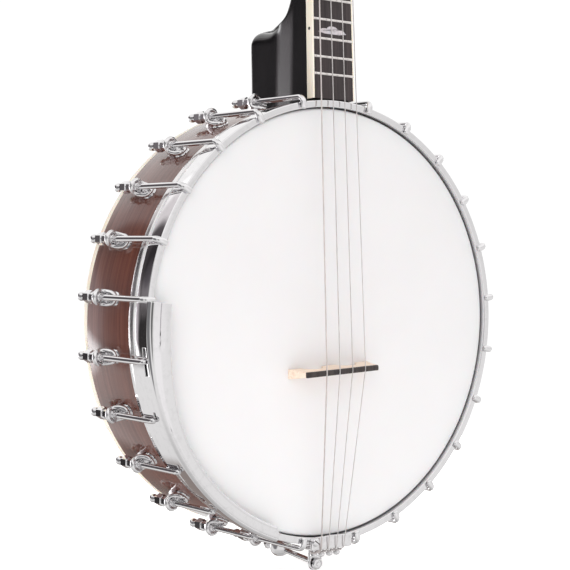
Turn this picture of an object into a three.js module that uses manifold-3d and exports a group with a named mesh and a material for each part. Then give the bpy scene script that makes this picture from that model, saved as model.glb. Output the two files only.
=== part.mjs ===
// A four-string, open-back, short-scale tenor banjo, built piece by piece.
//
// Working frame ("pot frame"), in millimetres: the origin is the middle of the drum head, X runs to
// the right of someone facing the head, Y runs backwards from the head (the head faces -Y) and Z runs
// up along the neck. The last lines move the whole assembly so that its box stands on Z = 0.
// The neck has a frame of its own, leaning back by NECK_ANGLE, and the headstock leans back from that.
import * as THREE from 'three';
import { mergeVertices } from 'three/addons/utils/BufferGeometryUtils.js';
import Module from 'manifold-3d';

const wasm = await Module();
wasm.setup();

// ---------------------------------------------------------------- driving dimensions (mm)
const GAP = 0.3;                        // air between pieces that touch
const ROUND = 60;                       // facets of every ring of the pot
const degrees = THREE.MathUtils.degToRad;

// drum head, hoops and rim: Y is depth behind the playing surface
const HEAD = { radius: 139.7, thickness: 0.5, collarRadius: 142.3, collarFront: 9.6, collarBack: 15.3 };
const HOOP = { inner: 140, outer: 144.5, front: -2.9, back: 9.25 };
const FLESH_HOOP = { inner: 139.2, outer: 143, front: 15.6, back: 21.3 };
const TONE_RING = { radius: 135.6, wire: 3.1, y: 4, sides: 6 };
const RIM = { inner: 127, outer: 141, shoulder: 138.8, front: 7.4, shoulderBack: 21.6, back: 75.5 };
const RIM_BINDING = { width: 2.5, height: 4.2 };

// hook, shoe and nut, twenty-four times round the pot
const HOOKS_PER_SIDE = 12;
const HOOK_FIRST = 11.2;                // degrees from the neck
const HOOK_STEP = 14.52;                // degrees between neighbours
const HOOK = { radius: 147.6, wire: 1.8, bend: 3, front: -5.1, tip: 141, end: 60, sides: 6 };
const HOOK_NUT = { front: 54, shoulder: 65.4, tip: 73.2, hexRadius: 3.9, neckRadius: 2.2, ballRadius: 3.5 };
const SHOE = { front: 30, back: 70, halfWidth: 5.3, thickness: 1.7, barrelRadius: 5.1, barrelFront: 39.5 };
const SHOE_BOLT = { y: 47, radius: 2.3, holeRadius: 2.8, washerRadius: 5.2, headRadius: 4.1, headHeight: 3 };

// coordinator rod, across the pot from the heel to the tail
const ROD = {
  y: 49.5, radius: 4, studRadius: 2.9, studHole: 3.3, heelEnd: 156, tailEnd: 149.5, nutRadius: 7.5,
};

// neck and fingerboard
const NECK_ANGLE = degrees(3.03);
const SCALE_LENGTH = 501.65;            // 19 3/4 inches
const FRET_COUNT = 17;
const BOARD = { y: -1.4, z: 145.3, halfWidth: 17.56, taper: 0.0074, thickness: 6.5 };
// the bridge stands a little slanted and off centre, as a player sets it for the intonation
const BRIDGE = {
  x: -1, z: -31.1, slant: degrees(2.9), compensation: 4.5, stringShift: 0.95,
  halfLength: 30, footHalfLength: 33.3, top: 14.2, cap: 1.7, footHalfThickness: 3.2, topHalfThickness: 1.8,
};
const BOARD_LENGTH = SCALE_LENGTH + BRIDGE.compensation + BRIDGE.z - BOARD.z;
const BINDING_WIDTH = 1.3;
const FRET = { width: 2.2, height: 1 };
const NUT = { length: 5, front: -1 };
const SHAFT = { depthAtNut: 20.2, depthAtHeel: 20.4, overhang: 14 };
const HEEL = { back: 75.6, top: 195, throat: 24.2, shaftMeets: 246, bottom: 138, waist: 12.5 };

// headstock and tuners; the headstock frame starts behind the nut
const HEADSTOCK_ANGLE = degrees(13);
const HEADSTOCK = { start: 6, drop: 3, length: 136, thickness: 12, veneer: 1.5, lowerBout: 36, waist: 29.5 };
const TUNER_SPOTS = [[23.5, 42], [22.5, 88]];   // half spacing and height of each pair
const TUNER = { holeRadius: 5.1, bore: 3.4, flange: 7.5, barrel: 9.5, barrelBack: 27, noseBack: 29 };
const POST = { radius: 3, front: -19, back: 10.5, waist: 2.3, waistY: -7.5 };
const BUTTON = { shaft: 2.8, start: 12.5, centre: 39.5, halfWidth: 11, halfHeight: 8, thickness: 8 };

// strings: half spacings of the outer and inner pair along the way
const STRING = {
  radius: 0.4, sides: 6, bridgeLift: 0.15, atTail: [9.6, 3.4], atBridge: [16.3, 5.4], atNut: [12.1, 4.05],
};

// tailpiece over the hoop, its bolt and the bracket that the bolt pulls against
const TAIL = {
  halfWidth: 17, plateTop: -138.9, wallInner: -145.1, wallOuter: -147.6, front: -5.4, wallBack: 6.5,
};
const TAIL_POST = { y: 1.5, radius: 1.7, ball: 2.3, tip: -153.6 };
const TAIL_EAR = { halfWidth: 5, front: 11.3, back: 13.6, holeZ: -159.6 };
const TAIL_SCREW = { x: -13.8, z: -141.9, radius: 2.9, height: 1.8 };
const TAIL_BOLT = { lean: degrees(5.7), radius: 1.8, hole: 2.3, headRadius: 4, head: 2.6, length: 55 };
const TAIL_BRACKET = { baseRadius: 9, neckRadius: 6.4, tip: -161.2 };

// armrest: a folded sheet that rides over the hoop, held by the hooks
const ARMREST = {
  start: 84.4, end: 161.2, front: -8.6, sheet: 0.9, flangeInner: 144.8, flangeOuter: 145.5,
  flangeStart: 96.4, flangeFull: 99, flangeTaper: 126, flangeBack: 11, innerTop: 131.2, innerTail: 137.8,
};

// ---------------------------------------------------------------- materials
const finish = (color, roughness, metalness) => ({ color, roughness, metalness });
const CHROME = finish(0xd9d9db, 0.12, 1);
const NICKEL = finish(0xc9c8c4, 0.25, 1);
const REDWOOD = finish(0x5d3226, 0.2, 0);
const IVORY = finish(0xf6e9d4, 0.35, 0);
const MYLAR = finish(0xeeecec, 0.6, 0);
const ROSEWOOD = finish(0x3f3433, 0.5, 0);
const BLACK_LACQUER = finish(0x0d0c0d, 0.12, 0);
const MAPLE = finish(0xf0d9bd, 0.5, 0);
const EBONY = finish(0x2c2625, 0.45, 0);
const STRING_STEEL = finish(0xb9b7b6, 0.3, 1);
const PEARLOID = finish(0xece8e0, 0.3, 0);

// ---------------------------------------------------------------- helpers
/** Makes a solid of a closed geometry, turned the right way out. */
function solid(geometry) {
  const bare = geometry.clone();
  bare.deleteAttribute('normal');
  bare.deleteAttribute('uv');
  const merged = mergeVertices(bare, 1e-4);
  const corners = merged.index.array;
  const triangles = [];
  for (let i = 0; i < corners.length; i += 3) {
    const [a, b, c] = [corners[i], corners[i + 1], corners[i + 2]];
    if (a !== b && b !== c && c !== a) triangles.push(a, b, c);
  }
  const vertProperties = new Float32Array(merged.attributes.position.array);
  if (signedVolume(vertProperties, triangles) < 0) triangles.reverse();
  const mesh = new wasm.Mesh({ numProp: 3, vertProperties, triVerts: new Uint32Array(triangles) });
  return new wasm.Manifold(mesh);
}

function signedVolume(points, triangles) {
  const corner = (i) => new THREE.Vector3().fromArray(points, 3 * triangles[i]);
  let sum = 0;
  for (let i = 0; i < triangles.length; i += 3) {
    sum += corner(i).dot(corner(i + 1).cross(corner(i + 2)));
  }
  return sum;
}

/** Gives a solid back as a geometry. */
function geometryOf(body) {
  const mesh = body.getMesh();
  const geometry = new THREE.BufferGeometry();
  geometry.setAttribute('position', new THREE.BufferAttribute(mesh.vertProperties, 3));
  geometry.setIndex(new THREE.BufferAttribute(mesh.triVerts, 1));
  geometry.computeVertexNormals();
  return geometry;
}

const join = (...bodies) => bodies.reduce((sum, body) => sum.add(body));
const cut = (body, ...tools) => tools.reduce((rest, tool) => rest.subtract(tool), body);
const points = (pairs) => pairs.map(([x, y]) => new THREE.Vector2(x, y));

/** A body of revolution about the Y axis from (radius, y) pairs; a ring's profile closes on itself. */
function turned(profile, segments = ROUND) {
  return solid(new THREE.LatheGeometry(points(profile), segments));
}

function ring(profile, segments = ROUND) {
  return turned([...profile, profile[0]], segments);
}

/** A round bar about the Y axis. */
function bar(radius, y0, y1, sides = 12) {
  return solid(new THREE.CylinderGeometry(radius, radius, y1 - y0, sides).translate(0, (y0 + y1) / 2, 0));
}

/** A box given by its lowest and highest corners. */
function box([x0, y0, z0], [x1, y1, z1]) {
  const geometry = new THREE.BoxGeometry(x1 - x0, y1 - y0, z1 - z0);
  return solid(geometry.translate((x0 + x1) / 2, (y0 + y1) / 2, (z0 + z1) / 2));
}

/** A flat plate: an outline in X and Z, from y0 to y1. */
function plate(shape, y0, y1, curveSegments = 12) {
  const geometry = new THREE.ExtrudeGeometry(shape, { depth: y1 - y0, bevelEnabled: false, curveSegments });
  return solid(geometry.rotateX(Math.PI / 2).translate(0, y1, 0));
}

/** A line through corner points, sampled at the corners only. */
class BentLine extends THREE.Curve {
  constructor(corners) {
    super();
    this.corners = corners;
  }

  getPointAt(u, target = new THREE.Vector3()) {
    const place = u * (this.corners.length - 1);
    const i = Math.min(Math.floor(place + 1e-6), this.corners.length - 2);
    return target.lerpVectors(this.corners[i], this.corners[i + 1], place - i);
  }

  getTangentAt(u, target = new THREE.Vector3()) {
    const i = Math.round(u * (this.corners.length - 1));
    const last = this.corners.length - 1;
    const side = (a, b) => new THREE.Vector3().subVectors(this.corners[b], this.corners[a]).normalize();
    const before = side(Math.max(i - 1, 0), Math.max(i, 1));
    const after = side(Math.min(i, last - 1), Math.min(i + 1, last));
    return target.copy(before.add(after).normalize());
  }

  getSpacedPoints(divisions) {
    return Array.from({ length: divisions + 1 }, (_, i) => this.getPointAt(i / divisions));
  }
}

/** A round wire along corner points. */
function wire(corners, radius, sides) {
  const section = new THREE.Shape(Array.from({ length: sides }, (_, i) => {
    const angle = (2 * Math.PI * (i + 0.5)) / sides;
    return new THREE.Vector2(radius * Math.cos(angle), radius * Math.sin(angle));
  }));
  const path = new BentLine(corners);
  return solid(new THREE.ExtrudeGeometry(section, { steps: corners.length - 1, extrudePath: path }));
}

const place = (body, matrix) => body.transform(matrix.elements);
const shift = (x, y, z) => new THREE.Matrix4().makeTranslation(x, y, z);
const TURN_Y_TO_Z = new THREE.Matrix4().makeRotationX(Math.PI / 2);

const pot = new THREE.Group();

/** Adds one named piece to a group. */
function piece(name, geometry, look, group = pot) {
  const mesh = new THREE.Mesh(geometry, new THREE.MeshStandardMaterial({ name, ...look }));
  mesh.name = name;
  group.add(mesh);
  return mesh;
}

// ---------------------------------------------------------------- the pot
function hookAngles() {
  const oneSide = Array.from({ length: HOOKS_PER_SIDE }, (_, i) => HOOK_FIRST + i * HOOK_STEP);
  return [...oneSide.map((angle) => -angle), ...oneSide];
}

/** The wooden rim, rabbeted for the flesh hoop in front and the binding behind, and drilled. */
function buildRim() {
  const { inner, outer, shoulder, front, shoulderBack, back } = RIM;
  const bindingInner = outer - RIM_BINDING.width - GAP;
  const bindingFront = back - RIM_BINDING.height - GAP;
  let rim = ring([
    [inner, front], [shoulder, front], [shoulder, shoulderBack], [outer, shoulderBack],
    [outer, bindingFront], [bindingInner, bindingFront], [bindingInner, back], [inner, back],
  ]);
  const drill = bar(SHOE_BOLT.holeRadius, inner - 5, outer + 5, 6);
  const drillUp = place(drill, TURN_Y_TO_Z);
  for (const angle of hookAngles()) {
    const turn = new THREE.Matrix4().makeRotationY(degrees(angle));
    rim = cut(rim, place(drillUp, turn.multiply(shift(0, SHOE_BOLT.y, 0))));
  }
  const rodDrill = place(bar(ROD.studHole, -outer - 5, outer + 5, 10), TURN_Y_TO_Z);
  return cut(rim, place(rodDrill, shift(0, ROD.y, 0)));
}

function buildRimBinding() {
  const inner = RIM.outer - RIM_BINDING.width;
  const front = RIM.back - RIM_BINDING.height;
  return ring([[inner, front], [RIM.outer, front], [RIM.outer, RIM.back], [inner, RIM.back]]);
}

function buildToneRing() {
  const { radius, wire: wireRadius, y, sides } = TONE_RING;
  return ring(Array.from({ length: sides }, (_, i) => {
    const angle = (2 * Math.PI * (i + 0.5)) / sides;
    return [radius + wireRadius * Math.cos(angle), y + wireRadius * Math.sin(angle)];
  }));
}

/** The drum head: a thin disc turned down over the tone ring, with a thick collar at its edge. */
function buildHead() {
  const { radius, thickness, collarRadius, collarFront, collarBack } = HEAD;
  const inner = radius - thickness;
  return turned([
    [0, 0], [radius, 0], [radius, collarFront], [collarRadius, collarFront], [collarRadius, collarBack],
    [inner, collarBack], [inner, thickness], [0, thickness],
  ]);
}

const buildHoop = ({ inner, outer, front, back }) => ring(
  [[inner, front], [outer, front], [outer, back], [inner, back]],
);

piece('rim', geometryOf(buildRim()), REDWOOD);
piece('rim_binding', geometryOf(buildRimBinding()), IVORY);
piece('tone_ring', geometryOf(buildToneRing()), NICKEL);
piece('head', geometryOf(buildHead()), MYLAR);
piece('flesh_hoop', geometryOf(buildHoop(FLESH_HOOP)), NICKEL);
piece('tension_hoop', geometryOf(buildHoop(HOOP)), CHROME);

// ---------------------------------------------------------------- the brackets
/** The hook: a wire along the pot, bent over the hoop's front. Built at the top of the pot. */
function buildHook() {
  const { radius, bend, front, tip, end } = HOOK;
  const corners = [new THREE.Vector3(0, end, radius)];
  for (const angle of [0, 30, 60, 90]) {
    const y = front + bend * (1 - Math.sin(degrees(angle)));
    const z = radius - bend * (1 - Math.cos(degrees(angle)));
    corners.push(new THREE.Vector3(0, y, z));
  }
  corners.push(new THREE.Vector3(0, front, tip));
  return wire(corners, HOOK.wire, HOOK.sides);
}

/** The nut that draws the hook back: six sides, a groove and a ball end. */
function buildHookNut() {
  const { front, shoulder, tip, hexRadius, neckRadius, ballRadius } = HOOK_NUT;
  const nut = turned([
    [0, front], [hexRadius, front], [hexRadius, shoulder - 1], [neckRadius, shoulder],
    [ballRadius, shoulder + 3], [ballRadius, tip - 3.2], [0, tip],
  ], 6);
  return place(nut, shift(0, 0, HOOK.radius));
}

/** The shoe: a leaf-shaped foot on the rim that carries a short barrel for the hook. */
function buildShoe() {
  const { front, back, halfWidth, thickness, barrelRadius, barrelFront } = SHOE;
  const middle = (front + back) / 2;
  const leaf = new THREE.Shape();
  leaf.moveTo(0, front);
  leaf.bezierCurveTo(halfWidth, front + 5, halfWidth * 1.2, middle - 6, halfWidth, middle);
  leaf.bezierCurveTo(halfWidth * 0.9, middle + 8, halfWidth * 0.5, back - 4, 0, back);
  leaf.bezierCurveTo(-halfWidth * 0.5, back - 4, -halfWidth * 0.9, middle + 8, -halfWidth, middle);
  leaf.bezierCurveTo(-halfWidth * 1.2, middle - 6, -halfWidth, front + 5, 0, front);
  const leafOptions = { depth: thickness, bevelEnabled: false, curveSegments: 3 };
  const foot = solid(new THREE.ExtrudeGeometry(leaf, leafOptions));
  const footZ = RIM.outer + GAP;
  const barrel = place(bar(barrelRadius, barrelFront, HOOK_NUT.front + 0.1, 8), shift(0, 0, HOOK.radius));
  const web = box([-2.6, barrelFront + 1, footZ + 0.2], [2.6, HOOK_NUT.front - 1, HOOK.radius]);
  return join(place(foot, shift(0, 0, footZ)), barrel, web);
}

/** The bolt through the rim, with its washer and nut inside the pot. */
function buildShoeBolt() {
  const { y, radius, washerRadius, headRadius, headHeight } = SHOE_BOLT;
  const washerTop = RIM.inner - GAP - 0.3;
  const bolt = bar(radius, washerTop - 1, RIM.outer + GAP + 1, 6);
  const washer = bar(washerRadius, washerTop - 1.1, washerTop, 8);
  const head = bar(headRadius, washerTop - 1.1 - headHeight, washerTop - 1, 6);
  return place(place(join(bolt, washer, head), TURN_Y_TO_Z), shift(0, y, 0));
}

const bracketGeometry = geometryOf(join(buildShoe(), buildHook(), buildHookNut(), buildShoeBolt()));
hookAngles().forEach((angle, i) => {
  const name = `bracket_${String(i + 1).padStart(2, '0')}`;
  piece(name, bracketGeometry, CHROME).rotation.y = degrees(angle);
});

// ---------------------------------------------------------------- coordinator rod
const alongZ = (body, y) => place(place(body, TURN_Y_TO_Z), shift(0, y, 0));

/** A round rod with a stud at each end and an adjuster near the heel. */
function buildRod() {
  const { radius, studRadius, heelEnd, tailEnd } = ROD;
  const body = RIM.inner - GAP - 0.2;
  const rod = turned([
    [0, -tailEnd], [studRadius, -tailEnd], [studRadius, -body], [radius, -body], [radius, 108],
    [radius + 2.4, 109], [radius + 2.4, 118], [radius, 119], [radius, body], [studRadius, body],
    [studRadius, heelEnd], [0, heelEnd],
  ], 12);
  return alongZ(rod, ROD.y);
}

function buildRodNut() {
  const face = -(RIM.inner - 2 * GAP);
  const bore = bar(ROD.radius + GAP, face - 1, face + 7, 12);
  return alongZ(cut(bar(ROD.nutRadius, face, face + 6, 6), bore), ROD.y);
}

piece('coordinator_rod', geometryOf(buildRod()), NICKEL);
piece('rod_end_nut', geometryOf(buildRodNut()), NICKEL);

// ---------------------------------------------------------------- neck
const neckFrame = new THREE.Group();
neckFrame.position.set(0, BOARD.y, BOARD.z);
neckFrame.rotation.x = -NECK_ANGLE;
pot.add(neckFrame);

const headstockFrame = new THREE.Group();
headstockFrame.position.set(0, HEADSTOCK.drop, BOARD_LENGTH + HEADSTOCK.start);
headstockFrame.rotation.x = -HEADSTOCK_ANGLE;
neckFrame.add(headstockFrame);
pot.updateMatrixWorld(true);

const boardHalfWidth = (z) => BOARD.halfWidth - BOARD.taper * z;

/** A strip of the fingerboard between two distances from its edge, over the board's length. */
function boardStrip(edgeInset, farInset, y0, y1, side) {
  const end = BOARD_LENGTH - GAP;
  const near = (z) => side * (boardHalfWidth(z) - edgeInset);
  const far = (z) => (farInset === null ? -near(z) : side * (boardHalfWidth(z) - farInset));
  const outline = new THREE.Shape(points([[far(0), 0], [near(0), 0], [near(end), end], [far(end), end]]));
  return plate(outline, y0, y1);
}

const fretZ = (n) => BOARD_LENGTH - SCALE_LENGTH * (1 - 2 ** (-n / 12));

/** The fingerboard, with the frets standing on it. */
function buildFingerboard() {
  const inset = BINDING_WIDTH + GAP;
  let board = boardStrip(inset, null, 0, BOARD.thickness, 1);
  for (let n = 1; n <= FRET_COUNT; n += 1) {
    const z = fretZ(n);
    const halfWidth = boardHalfWidth(z) - inset - 0.05;
    const fret = box([-halfWidth, -FRET.height, z - FRET.width / 2], [halfWidth, 0.5, z + FRET.width / 2]);
    board = join(board, fret);
  }
  return board;
}

/** The shaft of the neck: a half-round section that thins towards the nut. */
function buildShaft() {
  const length = BOARD_LENGTH + SHAFT.overhang;
  const top = BOARD.thickness + GAP;
  const section = new THREE.Shape();
  section.moveTo(1, 0);
  section.bezierCurveTo(1.02, 0.75, 0.62, 1, 0, 1);
  section.bezierCurveTo(-0.62, 1, -1.02, 0.75, -1, 0);
  const options = { depth: length, steps: 12, bevelEnabled: false, curveSegments: 7 };
  const geometry = new THREE.ExtrudeGeometry(section, options);
  const spots = geometry.attributes.position;
  for (let i = 0; i < spots.count; i += 1) {
    const z = spots.getZ(i);
    const share = Math.min(z / BOARD_LENGTH, 1);
    const past = Math.max(z - BOARD_LENGTH, 0);
    const depth = THREE.MathUtils.lerp(SHAFT.depthAtHeel, SHAFT.depthAtNut, share) - 0.25 * past;
    spots.setX(i, spots.getX(i) * (boardHalfWidth(Math.min(z, BOARD_LENGTH)) - 0.1));
    spots.setY(i, top + spots.getY(i) * (depth - top));
  }
  return place(solid(geometry), neckFrame.matrixWorld);
}

/** The heel: its side outline meets its plan outline, and the pot's curve is cut out of it. */
function buildHeel() {
  const { back, top, throat, shaftMeets, bottom, waist } = HEEL;
  const boardBack = (z) => BOARD.y + BOARD.thickness + GAP + 0.2 + Math.tan(NECK_ANGLE) * (z - BOARD.z);
  const side = new THREE.Shape();
  side.moveTo(boardBack(bottom), bottom);
  side.lineTo(boardBack(shaftMeets), shaftMeets);
  side.lineTo(throat, shaftMeets);
  side.bezierCurveTo(throat, 208, throat + 5, top + 1.4, throat + 28, top);
  side.lineTo(back - 8, top);
  side.quadraticCurveTo(back, top, back, top - 10);
  side.lineTo(back - 0.8, bottom);
  const width = 2 * BOARD.halfWidth;
  const sideBody = new THREE.ExtrudeGeometry(side, { depth: width, bevelEnabled: false, curveSegments: 8 });
  sideBody.applyMatrix4(new THREE.Matrix4().set(0, 0, 1, -width / 2, 1, 0, 0, 0, 0, 1, 0, 0, 0, 0, 0, 1));
  const plan = new THREE.Shape();
  const edge = BOARD.halfWidth - 0.3;
  plan.moveTo(-edge, 0);
  plan.lineTo(edge, 0);
  plan.lineTo(edge, 18);
  plan.bezierCurveTo(edge, 30, waist, 26, waist, 42);
  plan.lineTo(waist - 0.6, back - 9);
  plan.quadraticCurveTo(waist - 1, back, 4, back + 0.2);
  plan.lineTo(-4, back + 0.2);
  plan.quadraticCurveTo(-waist + 1, back, -waist + 0.6, back - 9);
  plan.lineTo(-waist, 42);
  plan.bezierCurveTo(-waist, 26, -edge, 30, -edge, 18);
  const planOptions = { depth: shaftMeets - bottom, bevelEnabled: false, curveSegments: 6 };
  const planBody = new THREE.ExtrudeGeometry(plan, planOptions);
  return solid(sideBody).intersect(place(solid(planBody), shift(0, 0, bottom)));
}

/** The outline of the headstock's right half, from the nut to its tip, mirrored to the left. */
function headstockOutline(start) {
  const { length, lowerBout, waist } = HEADSTOCK;
  const nutHalf = boardHalfWidth(BOARD_LENGTH);
  const shape = new THREE.Shape();
  const half = (side) => [
    [side * nutHalf, 10, side * 24, 14, side * lowerBout, 27],
    [side * (lowerBout + 1), 40, side * waist, 52, side * waist, 66],
    [side * waist, 80, side * (lowerBout + 1), 88, side * (lowerBout - 1), 106],
    [side * 27, 112, side * 21, 112, side * 17, 120],
    [side * 14, 126, side * 12, length, 0, length],
  ];
  shape.moveTo(-nutHalf, start);
  shape.lineTo(nutHalf, start);
  half(1).forEach((curve) => shape.bezierCurveTo(...curve));
  const left = half(-1);
  for (let i = left.length - 1; i >= 0; i -= 1) {
    const [ax, az, bx, bz] = left[i];
    const [endX, endZ] = i > 0 ? left[i - 1].slice(4) : [-nutHalf, start];
    shape.bezierCurveTo(bx, bz, ax, az, endX, endZ);
  }
  return shape;
}

const tunerSpots = [];
for (const [halfSpacing, z] of TUNER_SPOTS) {
  tunerSpots.push([-halfSpacing, z], [halfSpacing, z]);
}

function drillTuners(body) {
  const drill = bar(TUNER.holeRadius, -5, HEADSTOCK.thickness + 10, 12);
  return cut(body, ...tunerSpots.map(([x, z]) => place(drill, shift(x, 0, z))));
}

/** The neck: shaft, heel and headstock in one piece of wood. */
function buildNeck() {
  const woodFront = HEADSTOCK.veneer + GAP;
  const headstock = drillTuners(plate(headstockOutline(0), woodFront, woodFront + HEADSTOCK.thickness, 5));
  const potClearance = bar(RIM.outer + GAP, -50, 150, ROUND);
  const hoopClearance = bar(HOOP.outer + GAP, -50, RIM.shoulderBack + GAP, ROUND);
  const studHole = place(place(bar(ROD.studHole, 100, ROD.heelEnd + 1, 10), TURN_Y_TO_Z), shift(0, ROD.y, 0));
  const blank = join(buildShaft(), buildHeel(), place(headstock, headstockFrame.matrixWorld));
  return cut(blank, potClearance, hoopClearance, studHole);
}

const nutBlock = () => box(
  [-boardHalfWidth(BOARD_LENGTH), NUT.front, BOARD_LENGTH],
  [boardHalfWidth(BOARD_LENGTH), BOARD.thickness, BOARD_LENGTH + NUT.length],
);

piece('neck', geometryOf(buildNeck()), BLACK_LACQUER);
piece('fingerboard', geometryOf(buildFingerboard()), ROSEWOOD, neckFrame);
piece('binding_left', geometryOf(boardStrip(0, BINDING_WIDTH, 0, BOARD.thickness, -1)), IVORY, neckFrame);
piece('binding_right', geometryOf(boardStrip(0, BINDING_WIDTH, 0, BOARD.thickness, 1)), IVORY, neckFrame);
piece('nut', geometryOf(nutBlock()), IVORY, neckFrame);
const veneer = drillTuners(plate(headstockOutline(GAP), 0, HEADSTOCK.veneer, 5));
piece('headstock_veneer', geometryOf(veneer), EBONY, headstockFrame);

// ---------------------------------------------------------------- tuners
/** The fixed case of a planetary tuner, bored through for the post and the button's shaft. */
function buildTunerHousing() {
  const { bore, flange, holeRadius, barrel, barrelBack, noseBack } = TUNER;
  const woodBack = HEADSTOCK.veneer + 2 * GAP + HEADSTOCK.thickness;
  const neck = holeRadius - GAP;
  return ring([
    [bore, -2.3], [flange, -2.3], [flange, -GAP], [neck, -GAP], [neck, woodBack], [barrel, woodBack],
    [barrel, barrelBack], [6, noseBack], [bore, noseBack],
  ], 12);
}

function buildPost() {
  const { radius, front, back, waist, waistY } = POST;
  return turned([
    [0, back], [radius, back], [radius, waistY + 4], [waist, waistY + 1], [waist, waistY - 1],
    [radius, waistY - 4], [radius, front + 1], [radius - 1, front], [0, front],
  ], 10);
}

/** The button: an oval grip across the end of its shaft. */
function buildButton() {
  const { shaft, start, centre, halfWidth, halfHeight, thickness } = BUTTON;
  const oval = new THREE.Shape().absellipse(0, 0, halfWidth, halfHeight, 0, 2 * Math.PI);
  const grip = new THREE.ExtrudeGeometry(oval, { depth: thickness, bevelEnabled: false, curveSegments: 10 });
  return join(solid(grip.translate(0, centre, -thickness / 2)), bar(shaft, start, centre, 10));
}

const tunerParts = [
  ['housing', geometryOf(buildTunerHousing()), CHROME],
  ['post', geometryOf(buildPost()), CHROME],
  ['button', geometryOf(buildButton()), PEARLOID],
];
tunerSpots.forEach(([x, z], i) => {
  for (const [part, geometry, look] of tunerParts) {
    piece(`tuner_${i + 1}_${part}`, geometry, look, headstockFrame).position.set(x, 0, z);
  }
});

// ---------------------------------------------------------------- bridge
const bridgeFrame = new THREE.Matrix4().makeRotationY(-BRIDGE.slant).setPosition(BRIDGE.x, 0, BRIDGE.z);
const bridgeZ = (x) => BRIDGE.z + (x - BRIDGE.x) * Math.tan(BRIDGE.slant);

/** The maple bridge: three feet, two arches, and faces that lean together towards the top. */
function buildBridge() {
  const { halfLength, footHalfLength, top, footHalfThickness, topHalfThickness } = BRIDGE;
  const outline = new THREE.Shape();
  outline.moveTo(-footHalfLength, 0);
  outline.lineTo(-23, 0);
  outline.bezierCurveTo(-20, 9, -9, 9, -5.5, 0);
  outline.lineTo(5.5, 0);
  outline.bezierCurveTo(9, 9, 20, 9, 23, 0);
  outline.lineTo(footHalfLength, 0);
  outline.lineTo(halfLength, top - GAP);
  outline.lineTo(-halfLength, top - GAP);
  const geometry = new THREE.ExtrudeGeometry(outline, { depth: 1, bevelEnabled: false, curveSegments: 5 });
  const spots = geometry.attributes.position;
  for (let i = 0; i < spots.count; i += 1) {
    const height = spots.getY(i);
    const halfThickness = THREE.MathUtils.lerp(footHalfThickness, topHalfThickness, height / top);
    const side = spots.getZ(i) > 0.5 ? 1 : -1;
    spots.setXYZ(i, spots.getX(i), -GAP - height, side * halfThickness);
  }
  return place(solid(geometry), bridgeFrame);
}

const capFront = -BRIDGE.top - GAP - BRIDGE.cap;
const bridgeCap = place(box(
  [-BRIDGE.halfLength, capFront, -BRIDGE.topHalfThickness],
  [BRIDGE.halfLength, capFront + BRIDGE.cap, BRIDGE.topHalfThickness],
), bridgeFrame);
piece('bridge', geometryOf(buildBridge()), MAPLE);
piece('bridge_cap', geometryOf(bridgeCap), EBONY);

// ---------------------------------------------------------------- tailpiece
const stringX = ([outer, inner], i) => [-outer, -inner, inner, outer][i];

/** Moves a bar on the Y axis onto the line of the tail bolt. */
const onBoltLine = (body) => {
  const lean = new THREE.Matrix4().makeRotationX(TAIL_BOLT.lean);
  return place(body, shift(0, TAIL_EAR.front, TAIL_EAR.holeZ).multiply(lean));
};

/** The tailpiece: a plate over the hoop, a wall with four string posts and an ear for its bolt. */
function buildTailpiece() {
  const { halfWidth, plateTop, wallInner, wallOuter, front, wallBack } = TAIL;
  const { halfWidth: earHalf, front: earFront, back: earBack, holeZ } = TAIL_EAR;
  const top = box([-halfWidth, front, wallOuter], [halfWidth, HOOP.front - GAP, plateTop]);
  const wall = box([-halfWidth, front, wallOuter], [halfWidth, wallBack, wallInner]);
  const arm = box([-earHalf, wallBack - 1, wallOuter], [earHalf, earBack, wallInner]);
  const ear = box([-earHalf, earFront, holeZ], [earHalf, earBack, wallInner]);
  const earEnd = place(bar(earHalf, earFront, earBack, 16), shift(0, 0, holeZ));
  const screwBar = bar(TAIL_SCREW.radius, front - TAIL_SCREW.height, front + 0.5, 12);
  const screw = place(screwBar, shift(TAIL_SCREW.x, 0, TAIL_SCREW.z));
  const { y, radius, ball, tip } = TAIL_POST;
  const post = place(turned([[0, -tip], [ball, -tip - 0.8], [ball, -tip - 2.4], [radius, -tip - 3.4],
    [radius, -wallOuter - 1], [0, -wallOuter - 1]], 8), new THREE.Matrix4().makeRotationX(-Math.PI / 2));
  const posts = [0, 1, 2, 3].map((i) => place(post, shift(stringX(STRING.atTail, i), y, 0)));
  return cut(join(top, wall, arm, ear, earEnd, screw, ...posts), onBoltLine(bar(TAIL_BOLT.hole, -8, 12, 10)));
}

/** The bolt that pulls the tailpiece down, with its head in front of the ear and its nut behind. */
function buildTailBolt() {
  const { radius, headRadius, head, length } = TAIL_BOLT;
  const nutFront = 49.5;
  return onBoltLine(join(
    bar(headRadius, -head - 0.9, -0.9, 12),
    bar(radius, -1, length, 10),
    bar(3.6, nutFront, nutFront + 3, 6),
  ));
}

/** The turned bracket at the tail: it takes the rod's stud, and the tail bolt goes across it. */
function buildTailBracket() {
  const { baseRadius, neckRadius, tip } = TAIL_BRACKET;
  const foot = -(RIM.outer + GAP);
  const body = turned([
    [0, foot], [baseRadius, foot], [baseRadius, foot - 2], [neckRadius, foot - 4],
    [neckRadius + 0.8, foot - 11],
    [neckRadius - 0.6, foot - 17], [neckRadius - 3, tip + 0.5], [0, tip],
  ], 16);
  const studHole = alongZ(bar(ROD.studHole, foot - 9, foot + 5, 10), ROD.y);
  return cut(alongZ(body, ROD.y), studHole, onBoltLine(bar(TAIL_BOLT.hole, 20, 60, 10)));
}

piece('tailpiece', geometryOf(buildTailpiece()), CHROME);
piece('tailpiece_bolt', geometryOf(buildTailBolt()), NICKEL);
piece('tailpiece_bracket', geometryOf(buildTailBracket()), CHROME);

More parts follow.
